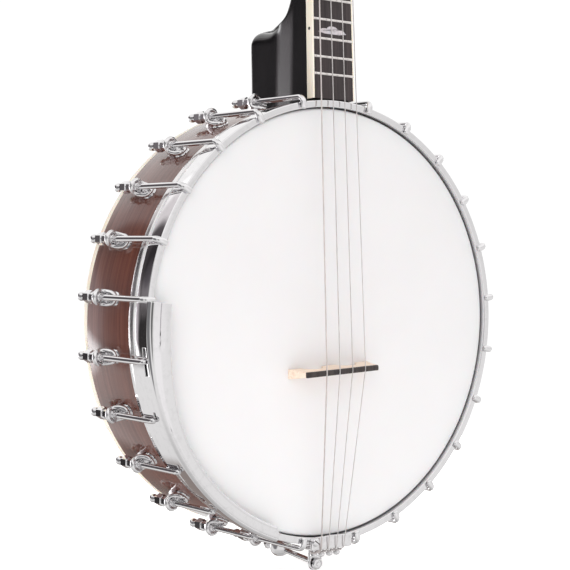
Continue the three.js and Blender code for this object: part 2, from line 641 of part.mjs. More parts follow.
// ---------------------------------------------------------------- armrest
/** The armrest: an L-shaped sheet bent round the hoop, slotted where the hooks pass through it. */
function buildArmrest() {
  const { start, end, front, sheet, flangeInner, flangeOuter } = ARMREST;
  const { flangeStart, flangeFull, flangeTaper, flangeBack, innerTop, innerTail } = ARMREST;
  const profile = new THREE.Shape(points([[0, 0], [2, 0], [2, 2], [1, 2], [1, 1], [0, 1]]));
  const geometry = new THREE.ExtrudeGeometry(profile, { depth: end - start, steps: 32, bevelEnabled: false });
  const lip = front + sheet + 0.8;
  const spots = geometry.attributes.position;
  for (let i = 0; i < spots.count; i += 1) {
    const angle = start + spots.getZ(i);
    const inward = THREE.MathUtils.smoothstep(angle, 88, 130);
    const tailEnd = THREE.MathUtils.smoothstep(angle, end - 3, end);
    const inner = THREE.MathUtils.lerp(innerTop, innerTail, inward) + 3 * tailEnd;
    const grown = THREE.MathUtils.smoothstep(angle, flangeStart, flangeFull);
    const tapered = THREE.MathUtils.clamp((angle - flangeTaper) / (end - flangeTaper), 0, 1);
    const flange = THREE.MathUtils.lerp(lip, flangeBack, grown * (1 - 0.85 * tapered));
    const radius = [inner, flangeInner, flangeOuter][Math.round(spots.getX(i))];
    const y = [front, front + sheet, flange][Math.round(spots.getY(i))];
    const turn = degrees(-angle);
    spots.setXYZ(i, radius * Math.sin(turn), y, radius * Math.cos(turn));
  }
  let armrest = solid(geometry);
  const slots = [[6, 2.8, 4.2], [7, 2.6, 1.3], [8, 3.8, 1.3], [9, 1.4, 1.4], [10, 1.4, 1.4]];
  for (const [hook, before, after] of slots) {
    const angle = HOOK_FIRST + hook * HOOK_STEP;
    const arc = new THREE.Shape();
    const from = Math.PI / 2 + degrees(angle - before);
    const to = Math.PI / 2 + degrees(angle + after);
    arc.absarc(0, 0, flangeOuter + 2, from, to, false);
    arc.absarc(0, 0, flangeInner - 2, to, from, true);
    armrest = cut(armrest, plate(arc, front + sheet - 0.1, HOOP.front + 0.9, 3));
  }
  return armrest;
}

piece('armrest', geometryOf(buildArmrest()), CHROME);

// ---------------------------------------------------------------- strings
/** A string from its tail post over the bridge and the nut to the side of its tuner post. */
function buildString(i) {
  const { radius, sides, bridgeLift, atTail, atBridge, atNut } = STRING;
  const clear = GAP + radius;
  const tailX = stringX(atTail, i);
  const bridgeX = stringX(atBridge, i) + BRIDGE.stringShift;
  const tunerIndex = [0, 2, 3, 1][i];
  const [tunerX, tunerZ] = tunerSpots[tunerIndex];
  const corners = [
    new THREE.Vector3(tailX, TAIL_POST.y - TAIL_POST.ball - clear, TAIL.wallOuter - 3),
    new THREE.Vector3(tailX, TAIL.front - clear + 0.2, TAIL.wallOuter - clear),
    new THREE.Vector3(tailX, TAIL.front - clear, TAIL.wallOuter + 1),
    new THREE.Vector3(bridgeX, capFront - clear - bridgeLift, bridgeZ(bridgeX)),
    new THREE.Vector3(stringX(atNut, i), NUT.front - clear, BOARD_LENGTH + NUT.length)
      .applyMatrix4(neckFrame.matrixWorld),
    new THREE.Vector3(tunerX - Math.sign(tunerX) * (POST.radius + 2 * clear), POST.waistY, tunerZ)
      .applyMatrix4(headstockFrame.matrixWorld),
  ];
  return wire(corners, radius, sides);
}

for (let i = 0; i < 4; i += 1) {
  piece(`string_${i + 1}`, geometryOf(buildString(i)), STRING_STEEL);
}

// ---------------------------------------------------------------- stand the assembly on its origin
const banjo = new THREE.Group();
banjo.name = 'banjo';
banjo.add(pot);
const bounds = new THREE.Box3().setFromObject(pot, true);
const centre = bounds.getCenter(new THREE.Vector3());
pot.position.set(-centre.x, -centre.y, -bounds.min.z);
banjo.updateMatrixWorld(true);

export default banjo;
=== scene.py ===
"""Open-back tenor banjo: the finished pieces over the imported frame, with its materials, lights and camera.

Lengths are in millimetres until a mesh is made. The pot frame has its origin in the middle of the drum head,
X to the right, Y backwards from the head and Z up along the neck. The neck, the headstock and the bridge have
frames of their own.
"""
import math

import bmesh
import bpy
from mathutils import Matrix, Vector


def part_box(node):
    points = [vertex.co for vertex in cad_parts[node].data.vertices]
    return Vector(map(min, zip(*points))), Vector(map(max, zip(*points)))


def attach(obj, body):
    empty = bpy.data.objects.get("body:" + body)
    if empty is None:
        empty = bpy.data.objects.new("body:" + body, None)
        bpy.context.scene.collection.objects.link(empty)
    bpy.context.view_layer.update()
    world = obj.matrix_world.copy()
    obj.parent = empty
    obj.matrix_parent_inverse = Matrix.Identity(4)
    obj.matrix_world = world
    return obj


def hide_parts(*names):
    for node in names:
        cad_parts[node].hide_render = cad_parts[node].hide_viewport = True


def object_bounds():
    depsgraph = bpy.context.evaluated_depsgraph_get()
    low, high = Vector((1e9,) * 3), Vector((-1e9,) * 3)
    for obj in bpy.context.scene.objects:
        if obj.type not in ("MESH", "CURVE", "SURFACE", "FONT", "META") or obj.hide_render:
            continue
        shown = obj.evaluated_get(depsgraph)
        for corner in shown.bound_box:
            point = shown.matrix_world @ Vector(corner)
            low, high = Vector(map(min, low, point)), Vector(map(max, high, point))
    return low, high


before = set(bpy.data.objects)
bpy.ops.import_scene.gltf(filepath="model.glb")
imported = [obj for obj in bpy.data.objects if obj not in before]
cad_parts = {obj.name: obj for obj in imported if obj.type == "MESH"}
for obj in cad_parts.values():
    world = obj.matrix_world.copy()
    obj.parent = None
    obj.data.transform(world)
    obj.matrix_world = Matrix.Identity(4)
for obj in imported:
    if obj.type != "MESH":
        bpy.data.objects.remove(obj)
CAD_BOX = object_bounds()
scene = bpy.context.scene

# ------------------------------------------------------------------ dimensions, in mm, as in the CAD
MM = 0.001
GAP = 0.1
FILM = {"radius": 139.2, "thickness": 0.4, "bend": 1.5, "back": 9.4}
HEAD_COLLAR = {"inner": 138.6, "outer": 142.3, "front": 9.6, "back": 15.3}
HOOP = {"inner": 140.0, "outer": 144.5, "front": -2.9, "back": 9.25}
FLESH_HOOP = {"inner": 139.4, "outer": 141.9, "front": 15.7, "back": 21.3}
RIM = {"inner": 127.0, "outer": 141.0, "shoulder": 138.8, "front": 7.4, "shoulder_back": 21.6, "back": 75.5}
RIM_BINDING = {"width": 2.5, "height": 4.2, "proud": 0.05}
TONE_RING = {"radius": 135.6, "wire": 3.1, "y": 4.0}
HOOK_ANGLES = [side * (11.2 + 14.52 * i) for side in (-1, 1) for i in range(12)]
HOOK_RADIUS = 147.6
NUT_TURN = 30
ROD_Y = 49.5

NECK_ANGLE = math.radians(3.03)
HEADSTOCK_ANGLE = math.radians(13)
SCALE_LENGTH = 501.65
FRET_COUNT = 17
MARKED_FRETS = (3, 5, 7, 10, 12, 15)
BOARD = {"y": -1.4, "z": 145.3, "half_width": 17.56, "taper": 0.0074, "thickness": 6.5}
BRIDGE_X, BRIDGE_Z = -1.0, -31.1
BRIDGE_SLANT = math.radians(2.9)
BRIDGE_COMPENSATION = 4.5
BOARD_LENGTH = SCALE_LENGTH + BRIDGE_COMPENSATION + BRIDGE_Z - BOARD["z"]
BINDING_WIDTH = 1.3
HEADSTOCK_START = 6.0
HEADSTOCK_DROP = 3.0
VENEER = 1.5
HEADSTOCK_THICKNESS = 12.0
TUNER_SPOTS = [(-23.5, 42), (23.5, 42), (-22.5, 88), (22.5, 88)]
STRING_X = {"tail": (-9.6, -3.4, 3.4, 9.6), "bridge": (-15.35, -4.45, 6.35, 17.25),
            "nut": (-12.1, -4.05, 4.05, 12.1)}
ROUND = 288   # segments of the pot's large rings

# ------------------------------------------------------------------ frames of reference, in metres
HEAD_LOW, HEAD_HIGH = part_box("head")
POT = Matrix.Translation(((HEAD_LOW[0] + HEAD_HIGH[0]) / 2, HEAD_LOW[1], (HEAD_LOW[2] + HEAD_HIGH[2]) / 2))


def moved(x, y, z):
    """A shift given in millimetres."""
    return Matrix.Translation((x * MM, y * MM, z * MM))


NECK = POT @ moved(0, BOARD["y"], BOARD["z"]) @ Matrix.Rotation(-NECK_ANGLE, 4, "X")
HEADSTOCK = (NECK @ moved(0, HEADSTOCK_DROP, BOARD_LENGTH + HEADSTOCK_START)
             @ Matrix.Rotation(-HEADSTOCK_ANGLE, 4, "X"))
BRIDGE = POT @ moved(BRIDGE_X, 0, BRIDGE_Z) @ Matrix.Rotation(-BRIDGE_SLANT, 4, "Y")


def round_pot(angle):
    """The pot frame turned so that its top points at that many degrees to the right of the neck."""
    return POT @ Matrix.Rotation(math.radians(angle), 4, "Y")


# ------------------------------------------------------------------ numbers
def lerp(a, b, t):
    return a + (b - a) * t


def clamp(t):
    return min(max(t, 0.0), 1.0)


def smoothstep(x, low, high):
    t = clamp((x - low) / (high - low))
    return t * t * (3 - 2 * t)


def between(a, b, c, d, t):
    """A place between b and c on the Catmull-Rom curve through a, b, c and d."""
    square, cube = 2 * a - 5 * b + 4 * c - d, 3 * b - a - 3 * c + d
    return 0.5 * (2 * b + (c - a) * t + square * t * t + cube * t ** 3)


def around(count, first=0.0):
    """Evenly spaced angles of a full turn."""
    return [2 * math.pi * i / count + first for i in range(count)]


def quarter_turn(steps):
    """Angles up to a right angle, without the first."""
    return [math.pi / 2 * i / steps for i in range(1, steps + 1)]


# ------------------------------------------------------------------ mesh helpers
def shade_smooth(mesh, crease):
    """Smooth shading, with sharp edges where two faces meet at more than the crease angle."""
    mesh.polygons.foreach_set("use_smooth", [True] * len(mesh.polygons))
    mesh.set_sharp_from_angle(angle=math.radians(crease))


def mesh_from(name, shells, crease=35):
    """One mesh of several closed shells, each (points in mm, faces), smooth up to the crease angle."""
    points, faces = [], []
    for shell_points, shell_faces in shells:
        start = len(points)
        points += [Vector(p) * MM for p in shell_points]
        faces += [[start + i for i in face] for face in shell_faces]
    mesh = bpy.data.meshes.new(name)
    mesh.from_pydata(points, [], faces)
    work = bmesh.new()
    work.from_mesh(mesh)
    bmesh.ops.remove_doubles(work, verts=work.verts, dist=1e-6)
    bmesh.ops.dissolve_degenerate(work, edges=work.edges, dist=1e-7)
    bmesh.ops.recalc_face_normals(work, faces=work.faces)
    work.to_mesh(mesh)
    work.free()
    shade_smooth(mesh, crease)
    return mesh


def loft(rings, wrap=False, caps=True):
    """A shell through rings that all have the same number of points."""
    count = len(rings[0])
    points = [p for ring in rings for p in ring]
    faces = []
    for i in range(len(rings) if wrap else len(rings) - 1):
        a, b = i * count, ((i + 1) % len(rings)) * count
        for j in range(count):
            k = (j + 1) % count
            faces.append([a + j, a + k, b + k, b + j])
    if caps and not wrap:
        faces.append(list(range(count)))
        faces.append(list(range(len(points) - count, len(points))))
    return points, faces


def rounded(corners, radius, steps=3, closed=True):
    """A profile with its corners turned into small curves."""
    result = []
    count = len(corners)
    for i, corner in enumerate(corners):
        here = Vector(corner)
        if not closed and i in (0, count - 1):
            result.append(tuple(here))
            continue
        before, after = Vector(corners[i - 1]), Vector(corners[(i + 1) % count])
        reach = min(radius, (before - here).length * 0.45, (after - here).length * 0.45)
        start = here + (before - here).normalized() * reach
        end = here + (after - here).normalized() * reach
        for step in range(steps + 1):
            t = step / steps
            result.append(tuple(start * (1 - t) ** 2 + here * 2 * t * (1 - t) + end * t ** 2))
    return result


def lathe(profile, segments=ROUND):
    """A body turned about Y from a profile of (radius, y)."""
    rings = [[(r * math.sin(a), y, r * math.cos(a)) for r, y in profile] for a in around(segments)]
    return loft(rings, wrap=True)


def turned(profile, radius=0.3, segments=32, steps=3):
    """A body of revolution on the Y axis with softened corners, from (radius, y) pairs."""
    return lathe(rounded(profile, radius, steps, closed=False), segments)


def ring_profile(inner, outer, front, back, radius, steps=3):
    """A rectangle of (radius, y) with rounded corners, for a hoop."""
    return rounded([(inner, front), (outer, front), (outer, back), (inner, back)], radius, steps)


def polygon(sides, radius):
    return [(radius * math.cos(a), radius * math.sin(a)) for a in around(sides)]


def prism(sides, radius, y0, y1, chamfer, bore=None):
    """A nut on the Y axis, its corners chamfered."""
    narrow, slope = radius - chamfer, 0.6 * chamfer
    levels = [(y0, narrow), (y0 + slope, radius), (y1 - slope, radius), (y1, narrow)]
    if bore is not None:
        levels += [(y1, bore), (y0, bore)]
    rings = [[(x, y, z) for x, z in polygon(sides, r)] for y, r in levels]
    return loft(rings, wrap=bore is not None)


def inset(outline, distance):
    """An outline moved inwards by a small distance."""
    area = sum(a[0] * b[1] - b[0] * a[1] for a, b in zip(outline, outline[1:] + outline[:1]))
    side = 1 if area > 0 else -1
    result = []
    for i, point in enumerate(outline):
        before, after = Vector(outline[i - 1]), Vector(outline[(i + 1) % len(outline)])
        along = (after - before).normalized()
        result.append((point[0] - side * along.y * distance, point[1] + side * along.x * distance))
    return result


def slab(outline, y0, y1, bevel=0.5, steps=4):
    """A plate: an outline in X and Z from y0 to y1, with rounded edges."""
    angles = [0.0] + quarter_turn(steps)
    levels = [(y0 + bevel * (1 - math.cos(a)), bevel * (1 - math.sin(a))) for a in angles]
    levels += [(y0 + y1 - y, inwards) for y, inwards in reversed(levels)]
    return loft([[(x, y, z) for x, z in inset(outline, inwards)] for y, inwards in levels])


def bezier(start, control_a, control_b, end, steps):
    """Points of a curve after its start, in any number of dimensions."""
    a, b, c, d = Vector(start), Vector(control_a), Vector(control_b), Vector(end)
    result = []
    for i in range(1, steps + 1):
        t = i / steps
        rest = 1 - t
        result.append(tuple(a * rest ** 3 + b * 3 * t * rest ** 2 + c * 3 * t * t * rest + d * t ** 3))
    return result


def smooth_loop(corners, per_span=4):
    """A closed Catmull-Rom curve through points."""
    spots = [Vector(c) for c in corners]
    result = []
    for i in range(len(spots)):
        a, b, c, d = (spots[(i + k) % len(spots)] for k in (-1, 0, 1, 2))
        result += [between(a, b, c, d, step / per_span) for step in range(per_span)]
    return result


def mirrored_loop(half):
    """A closed loop from the points of its right half, whose first and last lie on the middle plane."""
    return [Vector(p) for p in half] + [Vector((-x, y, z)) for x, y, z in reversed(half[1:-1])]


def ladder(count, start, reverse=False):
    """Faces that close a mirrored loop of count points, rung by rung across its middle plane."""
    faces = []
    for i in range(count // 2):
        a, b = start + i, start + i + 1
        c, d = start + (count - i - 1) % count, start + (count - i) % count
        face = list(dict.fromkeys((a, b, c, d)))
        faces.append(face[::-1] if reverse else face)
    return faces


def tube(path, radius, sides=12, flat=None, closed=False):
    """A sweep along points. radius is one number or one for each point; flat scales the second half width."""
    path = [Vector(p) for p in path]
    count = len(path)
    radii = radius if isinstance(radius, (list, tuple)) else [radius] * count
    flats = flat if flat is not None else [1.0] * count
    rings = []
    normal = None
    for i, spot in enumerate(path):
        before = path[i - 1] if closed or i > 0 else spot
        after = path[(i + 1) % count] if closed or i < count - 1 else spot
        along = (after - before).normalized()
        if normal is None:
            normal = Vector((1, 0, 0)) if abs(along.x) < 0.9 else Vector((0, 0, 1))
        normal = (normal - along * normal.dot(along)).normalized()
        wide, thick = normal * radii[i], along.cross(normal) * (radii[i] * flats[i])
        rings.append([tuple(spot + wide * math.cos(a) + thick * math.sin(a)) for a in around(sides)])
    return loft(rings, wrap=closed)


def place_shell(shell, matrix):
    """A shell moved by a matrix whose shift is in millimetres."""
    points, faces = shell
    return [tuple(matrix @ Vector(p)) for p in points], faces


def at(x, y, z):
    """A shift of a shell, whose points are in millimetres."""
    return Matrix.Translation((x, y, z))


def turn(axis, angle):
    """A turn about an axis, in degrees."""
    return Matrix.Rotation(math.radians(angle), 4, axis)


def piece(name, form, look, node=None, place=POT, body="banjo", crease=35):
    """A named piece that rides on a body: form is a mesh or a list of shells, node what it stands in for."""
    mesh = mesh_from(name, form, crease) if isinstance(form, list) else form
    obj = bpy.data.objects.new(name, mesh)
    scene.collection.objects.link(obj)
    obj.matrix_world = place
    if not mesh.materials:
        mesh.materials.append(look)
    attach(obj, body)
    if node:
        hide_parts(node)
    return obj


# ------------------------------------------------------------------ material helpers
def fill_ramp(node, stops):
    """The (position, colour) stops of a colour ramp node."""
    elements = node.color_ramp.elements
    while len(elements) < len(stops):
        elements.new(0.5)
    for element, (position, colour) in zip(elements, stops):
        element.position = position
        element.color = (*colour, 1)


def colour_sockets(sockets):
    return [socket for socket in sockets if socket.type == "RGBA"]


class Look:
    """A procedural material under construction."""

    def __init__(self, name, **values):
        self.material = bpy.data.materials.new(name)
        self.material.use_nodes = True
        self.tree = self.material.node_tree
        self.shader = self.tree.nodes["Principled BSDF"]
        for socket, value in values.items():
            self.shader.inputs[socket.replace("_", " ")].default_value = value
        self.place = self.add("ShaderNodeTexCoord").outputs["Object"]

    def add(self, kind, **settings):
        node = self.tree.nodes.new(kind)
        for name, value in settings.items():
            setattr(node, name, value)
        return node

    def join(self, output, socket):
        self.tree.links.new(output, socket)

    def stretched(self, scale, source=None):
        """Coordinates with a scale of their own along each axis."""
        node = self.add("ShaderNodeMapping")
        node.inputs["Scale"].default_value = scale
        self.join(source or self.place, node.inputs["Vector"])
        return node.outputs["Vector"]

    def round_the_pot(self):
        """Coordinates along the rim's circumference, across it and into it, in metres."""
        parts = self.add("ShaderNodeSeparateXYZ")
        self.join(self.place, parts.inputs["Vector"])
        angle = self.maths("ARCTAN2", parts.outputs["X"], parts.outputs["Z"])
        along = self.maths("MULTIPLY", angle, RIM["outer"] * MM)
        flat = self.add("ShaderNodeCombineXYZ")
        self.join(parts.outputs["X"], flat.inputs["X"])
        self.join(parts.outputs["Z"], flat.inputs["Z"])
        length = self.add("ShaderNodeVectorMath", operation="LENGTH")
        self.join(flat.outputs["Vector"], length.inputs[0])
        result = self.add("ShaderNodeCombineXYZ")
        self.join(along, result.inputs["X"])
        self.join(parts.outputs["Y"], result.inputs["Y"])
        self.join(length.outputs["Value"], result.inputs["Z"])
        return result.outputs["Vector"]

    def maths(self, operation, a, b=0.0):
        node = self.add("ShaderNodeMath", operation=operation)
        for socket, value in zip(node.inputs, (a, b)):
            if isinstance(value, (int, float)):
                socket.default_value = value
            else:
                self.join(value, socket)
        return node.outputs[0]

    def noise(self, scale, source=None, detail=4.0, roughness=0.5, distortion=0.0):
        node = self.add("ShaderNodeTexNoise")
        node.inputs["Scale"].default_value = scale
        node.inputs["Detail"].default_value = detail
        node.inputs["Roughness"].default_value = roughness
        node.inputs["Distortion"].default_value = distortion
        self.join(source or self.place, node.inputs["Vector"])
        return node.outputs["Fac"]

    def ramp(self, factor, stops):
        """A colour, or a grey used as a number, from (position, colour) stops."""
        node = self.add("ShaderNodeValToRGB")
        fill_ramp(node, [(at_share, (value,) * 3 if isinstance(value, float) else value)
                         for at_share, value in stops])
        self.join(factor, node.inputs["Fac"])
        return node.outputs["Color"]

    def mix(self, share, a, b, blend):
        """Two colours mixed by a fixed share."""
        node = self.add("ShaderNodeMix", data_type="RGBA", blend_type=blend)
        node.inputs[0].default_value = share
        for output, socket in zip((a, b), colour_sockets(node.inputs)):
            self.join(output, socket)
        return colour_sockets(node.outputs)[0]

    def colour(self, output):
        self.join(output, self.shader.inputs["Base Color"])

    def roughness(self, output):
        self.join(output, self.shader.inputs["Roughness"])

    def bump(self, height, strength, distance):
        """Relief from a height, its depth in millimetres."""
        node = self.add("ShaderNodeBump")
        node.inputs["Strength"].default_value = strength
        node.inputs["Distance"].default_value = distance * MM
        self.join(height, node.inputs["Height"])
        self.join(node.outputs["Normal"], self.shader.inputs["Normal"])


def plated(name, tint, low, high, ripple=0.02, wear=0.95):
    """Polished plating: hazy patches, a few fine ripples and slightly darker spots."""
    look = Look(name, Metallic=1.0)
    haze = look.noise(140, detail=5, roughness=0.6)
    look.roughness(look.ramp(haze, [(0.35, low), (0.75, high)]))
    spots = look.noise(260, detail=3)
    worn = tuple(c * wear for c in tint)
    look.colour(look.ramp(spots, [(0.3, worn), (0.5, tint)]))
    look.bump(look.noise(85, detail=2), ripple, 0.25)
    return look.material


def lacquered_rim():
    """Red-brown rim: grain along the circumference, streaks, pores and a thick gloss coat."""
    look = Look("rim_lacquer", Coat_Weight=1.0, Coat_Roughness=0.025, Coat_IOR=1.56, Specular_IOR_Level=0.3)
    along = look.round_the_pot()
    streaks = look.noise(1.0, look.stretched((9, 420, 420), along), detail=6, roughness=0.62, distortion=0.4)
    figure = look.noise(1.0, look.stretched((26, 60, 60), along), detail=3, distortion=0.8)
    pores = look.noise(1.0, look.stretched((60, 1900, 1900), along), detail=3, roughness=0.7)
    grain = look.ramp(streaks, [(0.28, (0.078, 0.021, 0.013)), (0.48, (0.115, 0.033, 0.02)),
                                (0.7, (0.16, 0.05, 0.03))])
    warm = look.ramp(figure, [(0.3, (0.88, 0.86, 0.86)), (0.7, (1.08, 1.06, 1.04))])
    wood = look.mix(1.0, grain, warm, "MULTIPLY")
    dots = look.ramp(pores, [(0.33, (0.6, 0.56, 0.56)), (0.42, (1.0, 1.0, 1.0))])
    look.colour(look.mix(0.6, wood, dots, "MULTIPLY"))
    look.roughness(look.ramp(streaks, [(0.3, 0.5), (0.7, 0.36)]))
    look.bump(pores, 0.08, 0.1)
    return look.material


def black_lacquer():
    """Black gloss over wood, with the faint waves that sanding leaves."""
    look = Look("black_lacquer", Coat_Weight=1.0, Coat_Roughness=0.1, Coat_IOR=1.42, Specular_IOR_Level=0.05)
    waves = look.noise(1.0, look.stretched((90, 90, 18)), detail=3)
    look.colour(look.ramp(waves, [(0.3, (0.004, 0.004, 0.0045)), (0.7, (0.009, 0.0085, 0.009))]))
    look.roughness(look.ramp(look.noise(300, detail=4), [(0.3, 0.16), (0.7, 0.26)]))
    look.bump(look.noise(45, detail=2), 0.05, 0.2)
    return look.material


def dark_wood(name, dark, light, along=12, across=700, roughness=(0.42, 0.58), coat=0.0):
    """Dark wood whose grain runs along Z, with open pores."""
    look = Look(name, Coat_Weight=coat, Coat_Roughness=0.12, Specular_IOR_Level=0.45)
    fine = look.stretched((across, across, along))
    grain = look.noise(1.0, fine, detail=6, roughness=0.65, distortion=0.3)
    bands = look.noise(1.0, look.stretched((120, 120, 5)), detail=3, distortion=0.5)
    pores = look.noise(1.0, look.stretched((2400, 2400, 70)), detail=2)
    base = look.ramp(grain, [(0.3, dark), (0.72, light)])
    tone = look.ramp(bands, [(0.3, (0.78, 0.78, 0.8)), (0.7, (1.15, 1.1, 1.08))])
    wood = look.mix(1.0, base, tone, "MULTIPLY")
    dots = look.ramp(pores, [(0.34, (0.4, 0.38, 0.38)), (0.44, (1.0, 1.0, 1.0))])
    look.colour(look.mix(0.7, wood, dots, "MULTIPLY"))
    look.roughness(look.ramp(grain, [(0.3, roughness[1]), (0.7, roughness[0])]))
    look.bump(pores, 0.25, 0.12)
    return look.material


def pale_maple():
    """Bare maple with thin growth lines and tiny flecks."""
    look = Look("bridge_maple", Specular_IOR_Level=0.35)
    grain = look.noise(1.0, look.stretched((18, 500, 500)), detail=6, roughness=0.6, distortion=0.3)
    flecks = look.noise(1.0, look.stretched((260, 1400, 1400)), detail=3)
    base = look.ramp(grain, [(0.3, (0.74, 0.55, 0.42)), (0.5, (0.87, 0.71, 0.58)), (0.75, (0.93, 0.8, 0.69))])
    dots = look.ramp(flecks, [(0.3, (0.86, 0.81, 0.78)), (0.45, (1.0, 1.0, 1.0))])
    look.colour(look.mix(0.8, base, dots, "MULTIPLY"))
    look.roughness(look.ramp(grain, [(0.3, 0.6), (0.7, 0.45)]))
    look.bump(flecks, 0.15, 0.1)
    return look.material


def cream_binding():
    """Cream celluloid, slightly streaky and yellowed along its length."""
    look = Look("cream_binding", Coat_Weight=0.6, Coat_Roughness=0.08, Subsurface_Weight=0.12,
                Subsurface_Scale=0.002)
    streaks = look.noise(1.0, look.stretched((160, 160, 22)), detail=4, distortion=0.4)
    look.colour(look.ramp(streaks, [(0.3, (0.88, 0.77, 0.62)), (0.6, (0.92, 0.84, 0.72)),
                                    (0.85, (0.94, 0.89, 0.81))]))
    look.roughness(look.ramp(look.noise(600), [(0.3, 0.28), (0.7, 0.4)]))
    look.bump(look.noise(500, detail=3), 0.05, 0.05)
    return look.material


def frosted_head():
    """The head's white coating: a fine sprayed grain, slightly cloudy, with faint playing marks."""
    look = Look("frosted_film", Specular_IOR_Level=0.3, Subsurface_Weight=0.08, Subsurface_Scale=0.0015)
    clouds = look.noise(9, detail=5, roughness=0.55)
    grain = look.noise(2600, detail=3, roughness=0.7)
    base = look.ramp(clouds, [(0.3, (0.705, 0.697, 0.702)), (0.7, (0.735, 0.727, 0.732))])
    speckle = look.ramp(grain, [(0.3, (0.965, 0.965, 0.965)), (0.6, (1.0, 1.0, 1.0))])
    look.colour(look.mix(1.0, base, speckle, "MULTIPLY"))
    look.roughness(look.ramp(look.noise(60, detail=4), [(0.3, 0.5), (0.7, 0.68)]))
    look.bump(grain, 0.12, 0.05)
    return look.material


def mother_of_pearl(name="pearl", tint=(0.56, 0.52, 0.54)):
    """Pearl: soft folded bands that drift between grey, pink and green-white."""
    look = Look(name, Coat_Weight=0.8, Coat_Roughness=0.06, Specular_IOR_Level=0.6)
    folds = look.noise(170, detail=3, distortion=2.6)
    other = look.noise(90, detail=2, distortion=1.5)
    dark, light = tuple(c * 0.66 for c in tint), tuple(c * 1.16 for c in tint)
    pink = tuple(c * share for c, share in zip(tint, (1.25, 1.14, 1.2)))
    base = look.ramp(folds, [(0.25, dark), (0.45, tint), (0.6, light), (0.8, pink)])
    tone = look.ramp(other, [(0.3, (0.85, 0.88, 0.92)), (0.7, (1.04, 1.0, 0.98))])
    look.colour(look.mix(1.0, base, tone, "MULTIPLY"))
    look.roughness(look.ramp(folds, [(0.3, 0.35), (0.7, 0.2)]))
    look.bump(folds, 0.05, 0.1)
    return look.material


def plain_string(name, tint, turns=None):
    """String wire. With turns, the fine ridges of its winding run across it."""
    look = Look(name, Metallic=0.9)
    streaks = look.noise(1.0, look.stretched((2500, 2500, 60)), detail=3)
    look.colour(look.ramp(streaks, [(0.3, tuple(c * 0.75 for c in tint)), (0.65, tint)]))
    look.roughness(look.ramp(look.noise(200), [(0.3, 0.28), (0.7, 0.42)]))
    if turns:
        winding = look.add("ShaderNodeTexWave", bands_direction="Z")
        winding.inputs["Scale"].default_value = turns
        look.join(look.place, winding.inputs["Vector"])
        look.bump(winding.outputs["Fac"], 0.5, 0.12)
    else:
        look.bump(streaks, 0.1, 0.02)
    return look.material


CHROME = plated("chrome", (0.84, 0.834, 0.844), 0.035, 0.09)
CHROME_CAST = plated("chrome_cast", (0.84, 0.832, 0.84), 0.05, 0.11, ripple=0.04, wear=0.92)
NICKEL = plated("nickel", (0.78, 0.76, 0.73), 0.16, 0.28, ripple=0.1)
FLESH_METAL = plated("flesh_hoop_metal", (0.8, 0.79, 0.79), 0.2, 0.28)
FRET_METAL = plated("fret_metal", (0.86, 0.82, 0.8), 0.16, 0.3, ripple=0.05)
RIM_WOOD = lacquered_rim()
NECK_BLACK = black_lacquer()
BOARD_WOOD = dark_wood("fingerboard_wood", (0.019, 0.0135, 0.0145), (0.055, 0.041, 0.042))
# Real ebony on the bridge cap and side dots; also the painted shade of the screw slot and of the posts'
# string holes.
EBONY_AND_SHADE = dark_wood("ebony", (0.018, 0.014, 0.013), (0.06, 0.046, 0.042), along=30, roughness=(0.35, 0.5))
VENEER_BLACK = dark_wood("headstock_ebony", (0.006, 0.005, 0.005), (0.018, 0.014, 0.013), coat=1.0)
MAPLE = pale_maple()
CREAM = cream_binding()
FROSTED = frosted_head()
PEARL = mother_of_pearl()
PEARLOID = mother_of_pearl("pearloid", (0.86, 0.84, 0.8))
WIRE = plain_string("string_wire", (0.86, 0.82, 0.81))
WOUND = plain_string("string_wound", (0.84, 0.77, 0.75), turns=900)


# ------------------------------------------------------------------ pot
def build_rim():
    """The wooden rim, stepped in front for the flesh hoop and behind for its binding."""
    edge = RIM["outer"] - RIM_BINDING["width"]
    seat = RIM["back"] - RIM_BINDING["height"]
    profile = rounded([
        (RIM["inner"], RIM["front"]), (RIM["shoulder"], RIM["front"]),
        (RIM["shoulder"], RIM["shoulder_back"]), (RIM["outer"], RIM["shoulder_back"]),
        (RIM["outer"], seat - GAP), (edge - GAP, seat - GAP),
        (edge - GAP, RIM["back"]), (RIM["inner"], RIM["back"]),
    ], 0.6)
    piece("rim_body", [lathe(profile)], RIM_WOOD, "rim")
    binding = ring_profile(edge, RIM["outer"] + RIM_BINDING["proud"], seat, RIM["back"], 0.9)
    piece("rim_edge_binding", [lathe(binding)], CREAM, "rim_binding")


def build_inner_hoops():
    """The round rod under the head's edge, and the flat hoop behind the head's collar."""
    wire = [(TONE_RING["radius"] + x, TONE_RING["y"] + y) for x, y in polygon(20, TONE_RING["wire"])]
    piece("tone_ring_rod", [lathe(wire, 216)], NICKEL, "tone_ring")
    flesh = ring_profile(**FLESH_HOOP, radius=1.1)
    piece("flesh_hoop_band", [lathe(flesh)], FLESH_METAL, "flesh_hoop")


def build_head():
    """The film is flat out to the tone ring and turns down over it into the collar."""
    radius, thickness, bend = FILM["radius"], FILM["thickness"], FILM["bend"]
    flat = radius - bend
    inner_bend = bend - thickness
    profile = [(r, 0) for r in (0, 40, 80, 120, 131.5, flat)]
    profile += [(flat + bend * math.sin(a), bend * (1 - math.cos(a))) for a in quarter_turn(10)]
    profile += [(radius, FILM["back"]), (radius - thickness, FILM["back"])]
    profile += [(flat + inner_bend * math.sin(a), bend - inner_bend * math.cos(a))
                for a in [*reversed(quarter_turn(6)), 0.0]]
    profile += [(0, thickness)]
    piece("head_film", [lathe(profile)], FROSTED, "head")
    collar = ring_profile(**HEAD_COLLAR, radius=1.0)
    piece("head_collar", [lathe(collar)], FROSTED, "head")


def build_tension_hoop():
    """The flat polished band that the hooks pull down."""
    profile = ring_profile(**HOOP, radius=0.75, steps=4)
    piece("tension_hoop_band", [lathe(profile)], CHROME, "tension_hoop")


